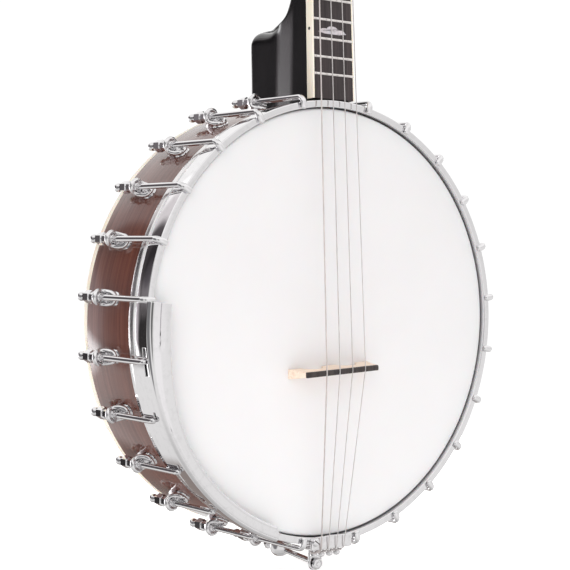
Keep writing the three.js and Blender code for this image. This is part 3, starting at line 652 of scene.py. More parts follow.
# ------------------------------------------------------------------ brackets
HOOK = {"radius": 1.85, "front": -4.5, "bend": 3.6, "bend_steps": 6, "tongue": 2.2, "tongue_thickness": 1.15}
HOOK_SHAFT = [57.5, 40, 20, 4]
# The tongue's end: height over the pot's axis, half width, and thickness as a share of the width.
HOOK_TIP = [(143.2, 2.2, 0.52), (141.6, 2.2, 0.52), (140.7, 2.05, 0.5), (140.1, 1.6, 0.47), (139.8, 0.9, 0.4)]
# A hook's end in a slot: distance behind its tip, distance inwards and radius.
TUCKED_END = [(3.6, 0.0, 1.85), (1.7, 0.15, 1.8), (0.6, 0.4, 1.6), (0.0, 0.8, 1.0)]
TUCKED_AT = {"first": -4.2, "others": 0.0}


def hook_from(name, rows):
    """A hook through rows of depth, height, half width and relative thickness."""
    path = [(0, y, z) for y, z, _, _ in rows]
    return mesh_from(name, [tube(path, [row[2] for row in rows], 20, [row[3] for row in rows])], 50)


def hook_mesh():
    """A round shaft that bends over the hoop and ends in a flat tongue."""
    rows = [(y, HOOK_RADIUS, HOOK["radius"], 1.0) for y in HOOK_SHAFT]
    for step in range(HOOK["bend_steps"] + 1):
        share = step / HOOK["bend_steps"]
        angle = math.pi / 2 * share
        y = HOOK["front"] + HOOK["bend"] * (1 - math.sin(angle))
        z = HOOK_RADIUS - HOOK["bend"] * (1 - math.cos(angle))
        half_width = lerp(HOOK["radius"], HOOK["tongue"], share)
        rows.append((y, z, half_width, lerp(HOOK["radius"], HOOK["tongue_thickness"], share) / half_width))
    return hook_from("hook", rows + [(HOOK["front"], *tip) for tip in HOOK_TIP])


def tucked_hook_mesh(tip):
    """A hook that goes into a slot of the armrest and ends at a depth."""
    rows = [(y, HOOK_RADIUS, HOOK["radius"], 1.0) for y in HOOK_SHAFT[:-1]]
    rows += [(tip + behind, HOOK_RADIUS - inwards, radius, 1.0) for behind, inwards, radius in TUCKED_END]
    return hook_from("tucked_hook", rows)


def nut_mesh():
    """A ball-ended nut: hexagon, groove, a second smaller hexagon against the shoe."""
    hexagon = prism(6, 4.1, 55.2, 61.6, 0.45)
    foot = prism(6, 3.4, 51.0, 54.8, 0.3)
    end = turned([(0, 54.5), (2.4, 54.5), (2.4, 55.6), (2.0, 56.5), (2.0, 64.8), (2.4, 65.6), (2.75, 66.5),
                  (2.95, 67.8), (2.8, 68.9), (2.35, 69.8), (1.7, 70.4), (0.9, 70.75), (0, 70.85)], 0.2, 32)
    return mesh_from("hook_nut", [hexagon, foot, end])


# Half of the shoe's outlines, from the top of its mouth round to the tip of its foot: across, y, height.
SHOE_LIP = [(0, 45.5, 10.9), (2.3, 45.6, 10.2), (3.8, 45.9, 8.6), (4.1, 46.0, 6.6), (4.1, 45.3, 4.9),
            (4.0, 43.4, 3.7), (3.8, 41.0, 2.9), (3.2, 38.3, 2.4), (1.9, 36.6, 2.1), (0, 35.9, 2.0)]
SHOE_BASE = [(0, 50.6, 9.8), (1.8, 50.6, 9.3), (3.0, 50.6, 8.0), (3.5, 50.5, 6.4), (3.4, 50.4, 3.4),
             (3.7, 49.8, 0.0), (4.8, 42.2, 0.0), (4.3, 37.2, 0.0), (2.7, 34.7, 0.0), (0, 33.9, 0.0)]
SHOE_FLOOR = [(0, 47.0, 8.2), (1.0, 47.0, 7.9), (1.7, 47.0, 7.1), (2.0, 46.8, 5.9), (2.1, 46.0, 4.2),
              (2.1, 44.5, 2.9), (2.1, 42.4, 2.0), (1.8, 40.4, 1.5), (1.0, 39.0, 1.4), (0, 38.5, 1.4)]
SHOE_OPENS = [(0, -1, 0)] * 4 + [(0, -0.95, 0.3), (0, -0.6, 0.8), (0, -0.2, 1)] + [(0, 0, 1)] * 3
SHOE_EDGE = [(0.9, -1.5), (1.3, -0.4), (1.15, 0.35), (0.6, 0.95), (-0.1, 1.15), (-0.8, 0.75), (-1.2, -0.1)]
SHOE_BOLT_Y = 47


def shoe_mesh():
    """A cast scoop whose mouth is round where the hook leaves it and runs down into a dished foot."""
    foot_z = RIM["outer"] + 0.15
    raised = [[(x, y, foot_z + h) for x, y, h in half] for half in (SHOE_LIP, SHOE_BASE, SHOE_FLOOR)]
    lip, base, floor = (smooth_loop(mirrored_loop(half)) for half in raised)
    opens = [v.normalized() for v in smooth_loop(mirrored_loop(SHOE_OPENS))]
    middle = Vector((0, 46, foot_z + 4))
    outwards = []
    for i, spot in enumerate(lip):
        along = (lip[(i + 1) % len(lip)] - lip[i - 1]).normalized()
        side = along.cross(opens[i]).normalized()
        outwards.append(side if side.dot(spot - middle) > 0 else -side)
    edge = [[spot + outwards[i] * out + opens[i] * up for i, spot in enumerate(lip)] for out, up in SHOE_EDGE]
    rings = [base] + [[b.lerp(e, share) for b, e in zip(base, edge[0])] for share in (0.3, 0.65)]
    rings += edge + [[e.lerp(f, 0.5) for e, f in zip(edge[-1], floor)], floor]
    count = len(lip)
    points, faces = loft([[tuple(p) for p in ring] for ring in rings], caps=False)
    faces += ladder(count, 0, True) + ladder(count, len(points) - count)
    boss = turned([(1.9, 50), (1.9, 44.2), (2.4, 44.2), (2.75, 44.8), (2.85, 50)], 0.25, 24)
    return mesh_from("shoe", [(points, faces), place_shell(boss, at(0, 0, HOOK_RADIUS))], 42)


def shoe_bolt_mesh():
    """The bolt's end inside the pot with a washer and a domed hex nut."""
    top = RIM["inner"]
    washer = turned([(0, top - 1.4), (5.3, top - 1.4), (5.3, top - 0.2), (0, top - 0.2)], 0.3, 32)
    nut = prism(6, 4.2, top - 4.5, top - 1.4, 0.5)
    stud = turned([(0, top - 4.9), (1.7, top - 4.9), (2.0, top - 4.4), (2.3, top + 15), (0, top + 15)],
                  0.3, 20)
    upright = at(0, SHOE_BOLT_Y, 0) @ turn("X", 90)
    return mesh_from("shoe_bolt", [place_shell(shell, upright) for shell in (washer, nut, stud)])


def build_brackets():
    """Hook, nut, shoe and bolt, twenty-four times round the pot. The armrest takes the hooks under it."""
    hook = hook_mesh()
    others = [("hook_nut", nut_mesh(), CHROME), ("shoe", shoe_mesh(), CHROME_CAST),
              ("shoe_bolt", shoe_bolt_mesh(), NICKEL)]
    tucked = {key: tucked_hook_mesh(tip) for key, tip in TUCKED_AT.items()}
    for i, angle in enumerate(HOOK_ANGLES):
        form = hook
        if ARMREST["start"] < -angle < ARMREST["end"]:
            form = tucked["first"] if -angle < ARMREST_SLOTS[0][1] else tucked["others"]
        for part, mesh, look in [("hook", form, CHROME)] + others:
            place = round_pot(angle)
            if part == "hook_nut":
                place = place @ moved(0, 0, HOOK_RADIUS) @ turn("Y", NUT_TURN - angle)
            piece(f"{part}_{i + 1:02d}", mesh, look, f"bracket_{i + 1:02d}", place)


# ------------------------------------------------------------------ rod and tail hardware
def build_rod():
    """The coordinator rod down the pot, with a hexagon to turn it and a nut at its upper end."""
    end = RIM["inner"] - 0.5
    rod = turned([(0, -end), (2.9, -end), (4, -end + 2), (4, 100), (5.6, 101), (6.3, 102.5), (6.3, 106),
                  (5.4, 107.2), (4.6, 107.8), (4, 108.2), (4, end), (0, end)], 0.4, 32)
    adjuster = prism(6, 6.4, 109, 118, 0.7)
    upright = at(0, ROD_Y, 0) @ turn("X", 90)
    shells = [place_shell(shell, upright) for shell in (rod, adjuster)]
    piece("coordinator_rod_bar", shells, NICKEL, "coordinator_rod")
    face = -(RIM["inner"] - 0.6)
    nut = prism(6, 7.5, face + 1.2, face + 6, 0.7, bore=4.2)
    washer = lathe(rounded([(4.4, face), (8.6, face), (8.6, face + 1.1), (4.4, face + 1.1)], 0.3), 36)
    shells = [place_shell(shell, upright) for shell in (nut, washer)]
    piece("rod_jam_nut", shells, NICKEL, "rod_end_nut")


TAIL = {"half_width": 17, "front": -5.4, "back": -3.2, "low": -147.5, "wall_top": -145.2, "arm_half_width": 5,
        "hole_z": -159.6, "ear_front": 11.3, "ear_back": 13.6, "screw": (-13.8, -141.9)}
TAIL_BOLT_LINE = at(0, TAIL["ear_front"], TAIL["hole_z"]) @ turn("X", 5.7)


def rectangle(half_width, low, high):
    return [(-half_width, low), (half_width, low), (half_width, high), (-half_width, high)]


def tail_casting():
    """The plate over the hoop, its wall, the arm behind the hoop, and the ear for the bolt with two ribs."""
    wide, narrow = TAIL["half_width"], TAIL["arm_half_width"]
    low, hole_z = TAIL["low"], TAIL["hole_z"]
    plate = [(-wide, low + 0.1), (wide, low + 0.1), (wide, -140.2), (14, -139.1), (0, -138.7), (-14, -139.1),
             (-wide, -140.2)]
    wall = rectangle(wide, low, TAIL["wall_top"])
    ear = [(-narrow, -146), (narrow, -146), (narrow, hole_z)]
    half_turn = [math.pi * i / 14 for i in range(1, 14)]
    ear += [(narrow * math.cos(a), hole_z - narrow * math.sin(a)) for a in half_turn]
    ear += [(-narrow, hole_z)]
    arm = rectangle(narrow, low, TAIL["wall_top"])
    shells = [
        slab(rounded(plate, 1.2, 3), TAIL["front"], TAIL["back"], 0.6),
        slab(rounded(wall, 0.8, 3), TAIL["front"] + 0.4, 6.4, 0.6),
        slab(ear, TAIL["ear_front"], TAIL["ear_back"], 0.5),
        slab(rounded(arm, 0.6, 3), 5.5, TAIL["ear_back"], 0.5),
    ]
    for side in (-1, 1):
        rib = [(side * 4.6, 12.6, -146.5), (side * 4.7, 12.0, -152), (side * 4.5, 11.6, -158)]
        shells.append(tube(rib, 0.8, 10))
    return shells


def build_tailpiece():
    """A cast plate that hooks over the hoop, with four string posts and a small screw whose slot is a dark
    strip of painted shade.
    """
    piece("tailpiece_plate", tail_casting(), CHROME_CAST, "tailpiece", crease=40)
    profile = [(0, 147.2), (1.75, 147.2), (1.6, 149.6), (1.7, 150.4), (2.3, 151.2), (2.35, 152.2),
               (1.9, 153.2), (0, 153.7)]
    post = mesh_from("tail_post", [turned(profile, 0.5, 24)])
    for i, x in enumerate(STRING_X["tail"]):
        place = POT @ moved(x, STRING_LOOP["y"], 0) @ turn("X", -90)
        piece(f"tail_post_{i + 1}", post, CHROME, "tailpiece", place)
    screw_x, screw_z = TAIL["screw"]
    place = POT @ moved(screw_x, TAIL["front"], screw_z)
    head = turned([(0, -1.8), (1.6, -1.75), (2.5, -1.3), (2.9, -0.5), (2.9, 0.3), (0, 0.3)], 0.3, 28)
    # The screw's slot is not cut: a thin dark strip on its head paints the shade inside the slot.
    slot = slab([(-2.2, -0.35), (2.2, -0.35), (2.2, 0.35), (-2.2, 0.35)], -1.86, -1.2, 0.08, 1)
    piece("tailpiece_screw", [head], CHROME, "tailpiece", place)
    piece("tailpiece_screw_slot_shade", [slot], EBONY_AND_SHADE, "tailpiece", place @ turn("Y", 35))


def build_tail_bolt():
    """The bolt through the ear and the round bracket on the rim that it pulls against."""
    domed = turned([(0, -3.5), (1.4, -3.5), (1.5, -2.6), (2.4, -2.6), (2.6, -3.4), (3.6, -2.9), (4.0, -2.1),
                    (4.0, -1.0), (0, -1.0)], 0.25, 32)
    shaft = turned([(0, -1.2), (1.8, -1.2), (1.8, 54.4), (1.3, 55), (0, 55)], 0.2, 20)
    nut = prism(6, 3.7, 49.4, 52.6, 0.5)
    shells = [place_shell(shell, TAIL_BOLT_LINE) for shell in (domed, shaft, nut)]
    piece("tail_bolt", shells, CHROME, "tailpiece_bolt")
    foot = RIM["outer"] + 0.2
    profile = [(0, 0), (9.0, 0), (9.0, 1.2), (8.2, 2.2), (6.6, 3.6), (6.1, 6), (6.7, 9), (7.2, 12),
               (7.0, 14.5), (5.9, 17.4), (3.6, 19.4), (0, 20)]
    bracket = turned([(r, foot + height) for r, height in profile], 0.9, 40, 4)
    shells = [place_shell(bracket, at(0, ROD_Y, 0) @ turn("X", -90))]
    piece("tail_bracket", shells, CHROME_CAST, "tailpiece_bracket", crease=50)


# ------------------------------------------------------------------ armrest
# Angles run from the neck round the left side, in degrees.
ARMREST = {"start": 84.1, "end": 161.2, "outer": 145.4, "thickness": 0.7, "slot_radius": 143.6, "steps": 512}
ARMREST_FLANGE = (98.3, 127.4)
# How the sheet's section changes: value before, value after, and the angles between which it changes.
ARMREST_CHANGES = {
    "inner": (131.6, 138.0, 88, 128),
    "end_trim": (0.0, 3.2, 159.6, 161.2),
    "face": (-9.2, -7.2, 88, 140),
    "crease": (138.8, 142.8, 88, 122),
    "rounding": (4.4, 2.1, 92, 104),
    "rounding_depth": (3.6, 2.1, 92, 104),
    "lip": (0.0, 1.2, 92, 97),
    "groove": (1.5, 0.0, 90, 97),
}
# Openings in the sheet: first and last angle, then lowest and highest y.
ARMREST_SLOTS = [(95.0, 101.6, -3.35, -0.25)]
ARMREST_SLOTS += [(spot - 1.9, spot - 0.2, -1.65, 1.35) for spot in (112.8, 127.3, 141.9, 156.4)]


def armrest_section(angle):
    """(radius, y) across the sheet at an angle: inner edge, face, crease, rounding over the hoop, side."""
    now = {key: lerp(before, after, smoothstep(angle, first, last))
           for key, (before, after, first, last) in ARMREST_CHANGES.items()}
    inner = now["inner"] + now["end_trim"]
    face, crease, lip = now["face"], now["crease"], now["lip"]
    rounding, rounding_depth = now["rounding"], now["rounding_depth"]
    shoulder = ARMREST["outer"] - rounding
    drop = 0.14 * (shoulder - crease) + 0.05
    start, before, after = inner + 1.0, crease - 0.7, crease + 0.7
    edge = [(inner - lip, face + 1.1), (inner - 0.4 * lip, face + 0.35), (inner + 0.3, face + 0.05),
            (start, face)]
    flat = [(lerp(start, before, t), face) for t in (0.5, 1.0)]
    flat += [(crease, face + now["groove"]), (after, face + 0.06)]
    flat += [(lerp(after, shoulder, t), face + lerp(0.06, drop, t)) for t in (0.5, 1.0)]
    centre = face + drop + rounding_depth
    over = [(shoulder + rounding * math.sin(a), centre - rounding_depth * math.cos(a))
            for a in quarter_turn(8)]
    side = [lerp(centre, -3.4, 0.5), -3.4, -3.3, -1.7, -1.6, -0.3, -0.2]
    flanged = ARMREST_FLANGE[0] < angle < ARMREST_FLANGE[1]
    side += [y if flanged else -0.2 + 0.0005 * y for y in (1.3, 1.4, 4.9, 8.4, 11.9, 15.4)]
    return edge + flat + over + [(ARMREST["outer"], y) for y in side]


def is_slot(angle, radius, y):
    """Whether a spot of the sheet lies in one of its openings."""
    if radius <= ARMREST["slot_radius"]:
        return False
    return any(first < angle < last and low < y < high for first, last, low, high in ARMREST_SLOTS)


def build_armrest():
    """A thin sheet bent over the hoop; the hooks go through slots in its bend."""
    steps = ARMREST["steps"]
    angles = [lerp(ARMREST["start"], ARMREST["end"], i / steps) for i in range(steps + 1)]
    sections = [armrest_section(angle) for angle in angles]
    width = len(sections[0])
    points = [Vector((r * math.sin(math.radians(-angle)), y, r * math.cos(math.radians(-angle)))) * MM
              for angle, section in zip(angles, sections) for r, y in section]
    faces = []
    for i in range(steps):
        for j in range(width - 1):
            radius, y = sections[i][j]
            next_y = sections[i][j + 1][1]
            if not is_slot(angles[i], radius, (y + next_y) / 2):
                corner = i * width + j
                faces.append([corner, corner + 1, corner + width + 1, corner + width])
    mesh = bpy.data.meshes.new("armrest_sheet")
    mesh.from_pydata(points, [], faces)
    work = bmesh.new()
    work.from_mesh(mesh)
    bmesh.ops.delete(work, geom=[v for v in work.verts if not v.link_faces], context="VERTS")
    bmesh.ops.recalc_face_normals(work, faces=work.faces)
    work.to_mesh(mesh)
    work.free()
    shade_smooth(mesh, 40)
    sheet = piece("armrest_sheet", mesh, CHROME, "armrest")
    thick = sheet.modifiers.new("thickness", "SOLIDIFY")
    thick.thickness = ARMREST["thickness"] * MM
    thick.offset = 1.0


# ------------------------------------------------------------------ neck
def board_half_width(z):
    """Half the fingerboard's width at a height over its lower end."""
    return BOARD["half_width"] - BOARD["taper"] * z


def board_back(z):
    """Depth of the fingerboard's back at a height in the pot frame."""
    return BOARD["y"] + BOARD["thickness"] + math.tan(NECK_ANGLE) * (z - BOARD["z"])


HEEL = {"fillet": 9.0, "steps": 8, "ends": (184, 246), "rim_radius": 141.2, "hoop_radius": 144.9,
        "hoop_back": 21.8}
# Rows of the neck, from the pot up: height at the board, then depth and height at the back.
HEEL_ROWS = [
    (146.0, 73.2, 141.3), (163.0, 74.1, 164.5), (178.0, 75.2, 183.4), (188.5, 75.2, 193.2),
    (195.0, 70.6, 195.6), (201.0, 58.6, 194.6), (204.0, 50.8, 194.3), (210.5, 37.0, 198.0),
    (218.0, 29.4, 205.0), (230.5, 25.0, 219.9), (252.0, 24.3, 249.0),
]
# Height at the board from which the back of the rows is the heel's upper side.
HEEL_TOP_FROM = 178.0
# The heel narrows towards its back, as shares of the board's width: first evenly from a depth on,
# then softly.
HEEL_TAPER = {"from": 20.5, "over": 24.0, "share": 0.27, "last": (44, 68), "last_share": 0.045}
HEEL_ROUNDED_OVER = (38, 66)
HEEL_LEAST_WIDTH = 0.3
# A section is a superellipse: its power in the heel and in the shaft, and where its corner starts in each.
SQUARENESS = (30.0, 2.25)
CORNER_STARTS = (0.94, 0.7)
SHAFT = {"rows": 24, "depth_at_nut": 13.6, "lean": 3}
# The neck past the nut, towards the headstock: height over the nut, and how much deeper it lies.
NECK_END = [(5, 1.16), (10, 2.96), (16, 4.96), (22, 6.48)]


def heel_curve():
    """HEEL_ROWS with smooth in-between rows."""
    rows = [HEEL_ROWS[0]] + HEEL_ROWS + [HEEL_ROWS[-1]]
    curve = []
    for four in zip(rows, rows[1:], rows[2:], rows[3:]):
        for step in range(HEEL["steps"]):
            t = step / HEEL["steps"]
            curve.append(tuple(between(*values, t) for values in zip(*four)))
    return curve + [HEEL_ROWS[-1]]


HEEL_CURVE = heel_curve()


def heel_top(y):
    """Height of the heel's upper side at a depth."""
    rows = [(back_y, back_z) for front_z, back_y, back_z in HEEL_CURVE if front_z >= HEEL_TOP_FROM]
    for (y1, z1), (y0, z0) in zip(rows, rows[1:]):
        if y0 <= y <= y1:
            return lerp(z0, z1, (y - y0) / (y1 - y0))
    return rows[0][1] if y > rows[0][0] else math.inf


def half_section(shaft_share):
    """(across, down) from the board's edge to the back's middle: square in the heel, oval in the shaft."""
    power = lerp(*SQUARENESS, shaft_share)
    flat = lerp(*CORNER_STARTS, shaft_share)

    def partner(value):
        return (1 - value ** power) ** (1 / power)

    side = [(partner(flat * i / 20), flat * i / 20) for i in range(20)]
    start, end = math.asin(flat ** (power / 2)), math.acos(flat ** (power / 2))
    corner = [lerp(start, end, i / 8) for i in range(9)]
    corner = [(math.cos(a) ** (2 / power), math.sin(a) ** (2 / power)) for a in corner]
    back = [(flat * (1 - i / 4), partner(flat * (1 - i / 4))) for i in range(1, 5)]
    return side + corner + back


def neck_section(front_z, back_y, back_z, shaft_share):
    """One row of the neck: from one edge of the board round the back to the other."""
    half_width = board_half_width(front_z - BOARD["z"]) - 0.05
    front_y = board_back(front_z)
    half = half_section(shaft_share)
    fillet = HEEL["fillet"]
    ring = []
    for side, across, down in [(1, *spot) for spot in half] + [(-1, *spot) for spot in reversed(half[:-1])]:
        y = front_y + (back_y - front_y) * down
        z = lerp(front_z, back_z, down ** 1.15)
        narrow = 1 - HEEL_TAPER["share"] * clamp((y - HEEL_TAPER["from"]) / HEEL_TAPER["over"])
        narrow -= HEEL_TAPER["last_share"] * smoothstep(y, *HEEL_TAPER["last"])
        over = max(0.0, z - (heel_top(y) - fillet))
        rounding = fillet - math.sqrt(max(fillet ** 2 - over ** 2, 0.0))
        rounding *= (1 - shaft_share) * smoothstep(y, *HEEL_ROUNDED_OVER)
        width = half_width * across * lerp(narrow, 1.0, shaft_share)
        width = max(width - rounding, min(width, HEEL_LEAST_WIDTH * half_width * across))
        ring.append((math.copysign(width, side), y, z))
    return ring


def on_the_pot(point):
    """A point of the neck's foot, moved onto the curve of the rim or of the hoop."""
    x, y, _ = point
    radius = HEEL["hoop_radius"] if y < HEEL["hoop_back"] else HEEL["rim_radius"]
    return (x, y, math.sqrt(radius ** 2 - x ** 2))


def build_neck():
    """Heel and shaft as one form, from the pot's curve to the headstock."""
    rows = [neck_section(*row, smoothstep(row[0], *HEEL["ends"])) for row in HEEL_CURVE]
    rows[0] = [on_the_pot(point) for point in rows[0]]
    top_z, top_y, _ = HEEL_ROWS[-1]
    nut_z = BOARD["z"] + BOARD_LENGTH * math.cos(NECK_ANGLE)
    for i in range(1, SHAFT["rows"] + 1):
        share = i / SHAFT["rows"]
        front_z = lerp(top_z, nut_z, share)
        depth = lerp(top_y - board_back(top_z), SHAFT["depth_at_nut"], share)
        back_z = front_z - lerp(SHAFT["lean"], 0, share)
        rows.append(neck_section(front_z, board_back(front_z) + depth, back_z, 1.0))
    last = neck_section(nut_z, board_back(nut_z) + SHAFT["depth_at_nut"], nut_z, 1.0)
    rows += [[(x, y + deeper, z + extra) for x, y, z in last] for extra, deeper in NECK_END]
    piece("neck_shaft", [loft(rows)], NECK_BLACK, "neck", crease=60)


# Right half of the headstock's outline after its first curve: two control points and an end each.
HEADSTOCK_CURVES = [((37, 40), (29.5, 52), (29.5, 66)), ((29.5, 80), (37, 88), (35, 106)),
                    ((27, 112), (21, 112), (17, 120)), ((14, 126), (12, 136), (0, 136))]
INLAY = {"front": -0.06, "back": 0.4, "edge": 0.03}


def headstock_outline(start, shrink=0.0):
    """The headstock's outline in its own X and Z."""
    nut_half = board_half_width(BOARD_LENGTH)
    right = [(nut_half, start)]
    for control_a, control_b, end in [((nut_half, 10), (24, 14), (36, 27))] + HEADSTOCK_CURVES:
        right += bezier(right[-1], control_a, control_b, end, 9)
    outline = right + [(-x, z) for x, z in reversed(right[:-1])]
    return inset(outline, shrink) if shrink else outline


def build_headstock():
    """The black body of the headstock and the thin ebony face on it."""
    wood = slab(headstock_outline(-2.0), VENEER, VENEER + HEADSTOCK_THICKNESS + 0.3, 1.6, 5)
    piece("headstock_body", [wood], NECK_BLACK, "neck", HEADSTOCK, crease=50)
    face = slab(headstock_outline(0.3, 0.2), 0, VENEER - 0.02, 0.45, 3)
    piece("headstock_face", [face], VENEER_BLACK, "headstock_veneer", HEADSTOCK, crease=50)


def build_truss_cover():
    """The bell-shaped cover below the nut, held by three screws."""
    edge = bezier((6.5, 5.5), (7.5, 14), (3.0, 17), (2.6, 27), 8)
    outline = [(-6.5, 5.5), (6.5, 5.5)] + edge + [(0, 28.5)] + [(-x, z) for x, z in reversed(edge)]
    plate = mesh_from("truss_cover", [slab(outline, -1.6, -0.02, 0.5, 3)], 50)
    piece("truss_rod_cover", plate, VENEER_BLACK, place=HEADSTOCK)
    head = turned([(0, -0.75), (0.9, -0.65), (1.35, -0.1), (1.35, 0.4), (0, 0.4)], 0.2, 20)
    screw = mesh_from("small_screw", [head])
    for i, (x, z) in enumerate(((-4.4, 8.2), (4.4, 8.2), (0, 25.4))):
        piece(f"truss_cover_screw_{i + 1}", screw, CHROME, place=HEADSTOCK @ moved(x, -1.7, z))


def inlaid(outline, corner):
    """A thin plate of pearl let into the headstock."""
    return slab(rounded(outline, corner, 4), INLAY["front"], INLAY["back"], INLAY["edge"], 1)


def build_headstock_inlay():
    """A pearl lozenge with a drop on each side."""
    motif = [(0, 96), (5.5, 104), (0, 121), (-5.5, 104)]
    piece("headstock_inlay", [inlaid(motif, 1.6)], PEARL, place=HEADSTOCK)
    drop = [(7.2, 101), (10.6, 105.5), (7.8, 111)]
    left_drop = [(-x, z) for x, z in reversed(drop)]
    for side, outline in (("left", left_drop), ("right", drop)):
        mesh = mesh_from("inlay_drop", [inlaid(outline, 1.4)])
        piece(f"headstock_inlay_{side}", mesh, PEARL, place=HEADSTOCK)


def strip(name, inset_near, inset_far, side, look, bevel, node):
    """A strip of the fingerboard's length between two distances from its edge."""
    end = BOARD_LENGTH - 0.1
    back = BOARD["thickness"]
    sections = []
    for z in (end * i / 24 for i in range(25)):
        near = side * (board_half_width(z) - inset_near)
        far = -near if inset_far is None else side * (board_half_width(z) - inset_far)
        low, high = min(near, far), max(near, far)
        profile = rounded([(low, 0), (high, 0), (high, back), (low, back)], bevel, 3)
        sections.append([(x, y, z) for x, y in profile])
    piece(name, [loft(sections)], look, node, NECK)


def fret_z(n):
    """Height of a fret over the board's lower end, from the rule of the twelfth root of two."""
    return BOARD_LENGTH - SCALE_LENGTH * (1 - 2 ** (-n / 12))


FRET_RADIUS = 0.95
FRET_FOOT = 0.3
FRET_ENDS = [(0, 0.35), (0.5, 0.8), (1.1, 1.0)]


def fret_mesh(half_width):
    """A crowned wire with bevelled ends, standing on the board."""
    half_turn = [math.pi * i / 10 for i in range(11)]
    section = [(FRET_RADIUS * math.cos(a), -FRET_RADIUS * math.sin(a)) for a in half_turn]
    section += [(-FRET_RADIUS, FRET_FOOT), (FRET_RADIUS, FRET_FOOT)]
    ends = [(inwards - half_width, scale) for inwards, scale in FRET_ENDS]
    ends += [(-x, scale) for x, scale in reversed(ends)]
    rings = [[(x, y * scale if y < 0 else y, z) for z, y in section] for x, scale in ends]
    return mesh_from("fret", [loft(rings)], 50)


# Bumps of a cloud inlay: centre and radius as shares of its width, and height as a share of its height.
CLOUD_BUMPS = [(-0.27, 0.17, 0.34), (0.0, 0.2, 0.62), (0.27, 0.17, 0.34)]
CLOUD = {"width": 23.6, "octave_width": 26.6, "height": 6.2, "low": 2.4, "left": 0.6}


def cloud_outline(width, height):
    """A pearl inlay with a flat foot, pointed ends and three bumps."""
    half = width / 2
    points = [(-half, 0.06 * height)]
    for centre, radius, lift in CLOUD_BUMPS:
        base = 0.62 * lift
        for a in (math.pi * (1 - i / 8) for i in range(9)):
            rise = base + (1 - base) * 1.6 * base * math.sin(a)
            points.append((width * (centre + radius * math.cos(a)), height * rise))
    points += [(half, 0.06 * height), (half * 0.5, -0.08 * height), (-half * 0.5, -0.08 * height)]
    return points[::-1]


def build_fingerboard():
    """The board between its two bindings, with its frets."""
    strip("board", BINDING_WIDTH, None, 1, BOARD_WOOD, 0.15, "fingerboard")
    strip("edge_binding_left", 0, BINDING_WIDTH, -1, CREAM, 0.35, "binding_left")
    strip("edge_binding_right", 0, BINDING_WIDTH, 1, CREAM, 0.35, "binding_right")
    for n in range(1, FRET_COUNT + 1):
        mesh = fret_mesh(board_half_width(fret_z(n)) - 0.9)
        piece(f"fret_{n:02d}", mesh, FRET_METAL, "fingerboard", NECK @ moved(0, 0.05, fret_z(n)))


def build_markers():
    """Pearl inlays between the frets, and dots on the binding beside them."""
    dot = mesh_from("side_dot", [turned([(0, -0.12), (1.05, -0.12), (1.05, 0.6), (0, 0.6)], 0.08, 20)])
    for fret in MARKED_FRETS:
        z = (fret_z(fret) + fret_z(fret - 1)) / 2
        width = CLOUD["octave_width"] if fret == 12 else CLOUD["width"]
        mesh = mesh_from("inlay", [slab(cloud_outline(width, CLOUD["height"]), -0.05, 0.4, INLAY["edge"], 1)])
        place = NECK @ moved(-CLOUD["left"], 0, z - CLOUD["low"])
        piece(f"inlay_{fret:02d}", mesh, PEARL, "fingerboard", place)
        place = NECK @ moved(-board_half_width(z), 3.4, z) @ turn("Z", -90)
        piece(f"side_dot_{fret:02d}", dot, EBONY_AND_SHADE, place=place)


def build_string_nut():
    """The bone nut, with a notch for each string."""
    profile = [(-0.9, 0.25), (-1.0, 1.4), (-0.75, 3.0), (0.2, 4.4), (1.6, 4.95), (6.4, 4.95), (6.4, 0.05),
               (-0.6, 0.05)]
    half = board_half_width(BOARD_LENGTH)
    stations = [-half, -half + 0.3]
    for x in STRING_X["nut"]:
        stations += [x - 0.75, x - 0.45, x, x + 0.45, x + 0.75]
    stations += [half - 0.3, half]
    rings = []
    for x in stations:
        deep = 0.55 if any(abs(x - s) < 0.5 for s in STRING_X["nut"]) else 0.0
        trim = 0.25 if abs(x) > half - 0.1 else 0.0
        rings.append([(x, y + (deep if y < 0.1 else 0) + (trim if y < 2 else -trim), BOARD_LENGTH + z)
                      for y, z in profile])
    piece("string_nut", [loft(rings)], CREAM, "nut", NECK, crease=40)


# ------------------------------------------------------------------ tuners
POST_BORE = 3.35
BUTTON = {"half_width": 11, "half_height": 8, "centre": 39.5, "waist": 0.07, "half_thickness": 4}
# The button's edge: height over its middle plane, and distance inwards.
BUTTON_EDGE = [(-4.0, 2.4), (-3.6, 1.2), (-2.6, 0.35), (-1.2, 0.0), (1.2, 0.0), (2.6, 0.35), (3.6, 1.2),
               (4.0, 2.4)]
COIL = {"radius": 2.95, "start": -9.2, "pitch": 0.62, "points": 56, "points_per_half_turn": 10}


def tuner_case_mesh():
    """The round case behind the headstock that holds the gears."""
    back = VENEER + 0.6 + HEADSTOCK_THICKNESS
    profile = [(POST_BORE, back), (8.6, back), (9.5, back + 0.9), (9.5, back + 7), (9.1, back + 7.6),
               (9.5, back + 8.2), (9.3, 25.4), (8.4, 27), (6.2, 28.4), (5.2, 29), (POST_BORE, 29),
               (POST_BORE, back + 0.1)]
    return mesh_from("tuner_case", [turned(profile, 0.6, 40)], 40)


def tuner_bushing_mesh():
    """Washer, hexagon and collar round the post, in front of the headstock."""
    washer = lathe(rounded([(4.9, -0.75), (7.5, -0.75), (7.5, -0.02), (4.9, -0.02)], 0.25), 36)
    hexagon = prism(6, 6.6, -2.6, -0.75, 0.4, bore=POST_BORE)
    outline = [(POST_BORE, -4.4), (4.4, -4.4), (4.9, -2.6), (4.9, 1), (POST_BORE, 1), (POST_BORE, -4.3)]
    collar = turned(outline, 0.3, 32)
    return mesh_from("tuner_bushing", [washer, hexagon, collar])


def string_post_mesh():
    """The post, waisted where the string winds on."""
    profile = [(0, -19), (2.2, -19), (3.0, -18.3), (3.0, -12), (2.35, -9.5), (2.3, -7.5), (2.35, -5.5),
               (3.0, -3.4), (3.0, 10.4), (0, 10.4)]
    return mesh_from("string_post", [turned(profile, 0.35, 32)])


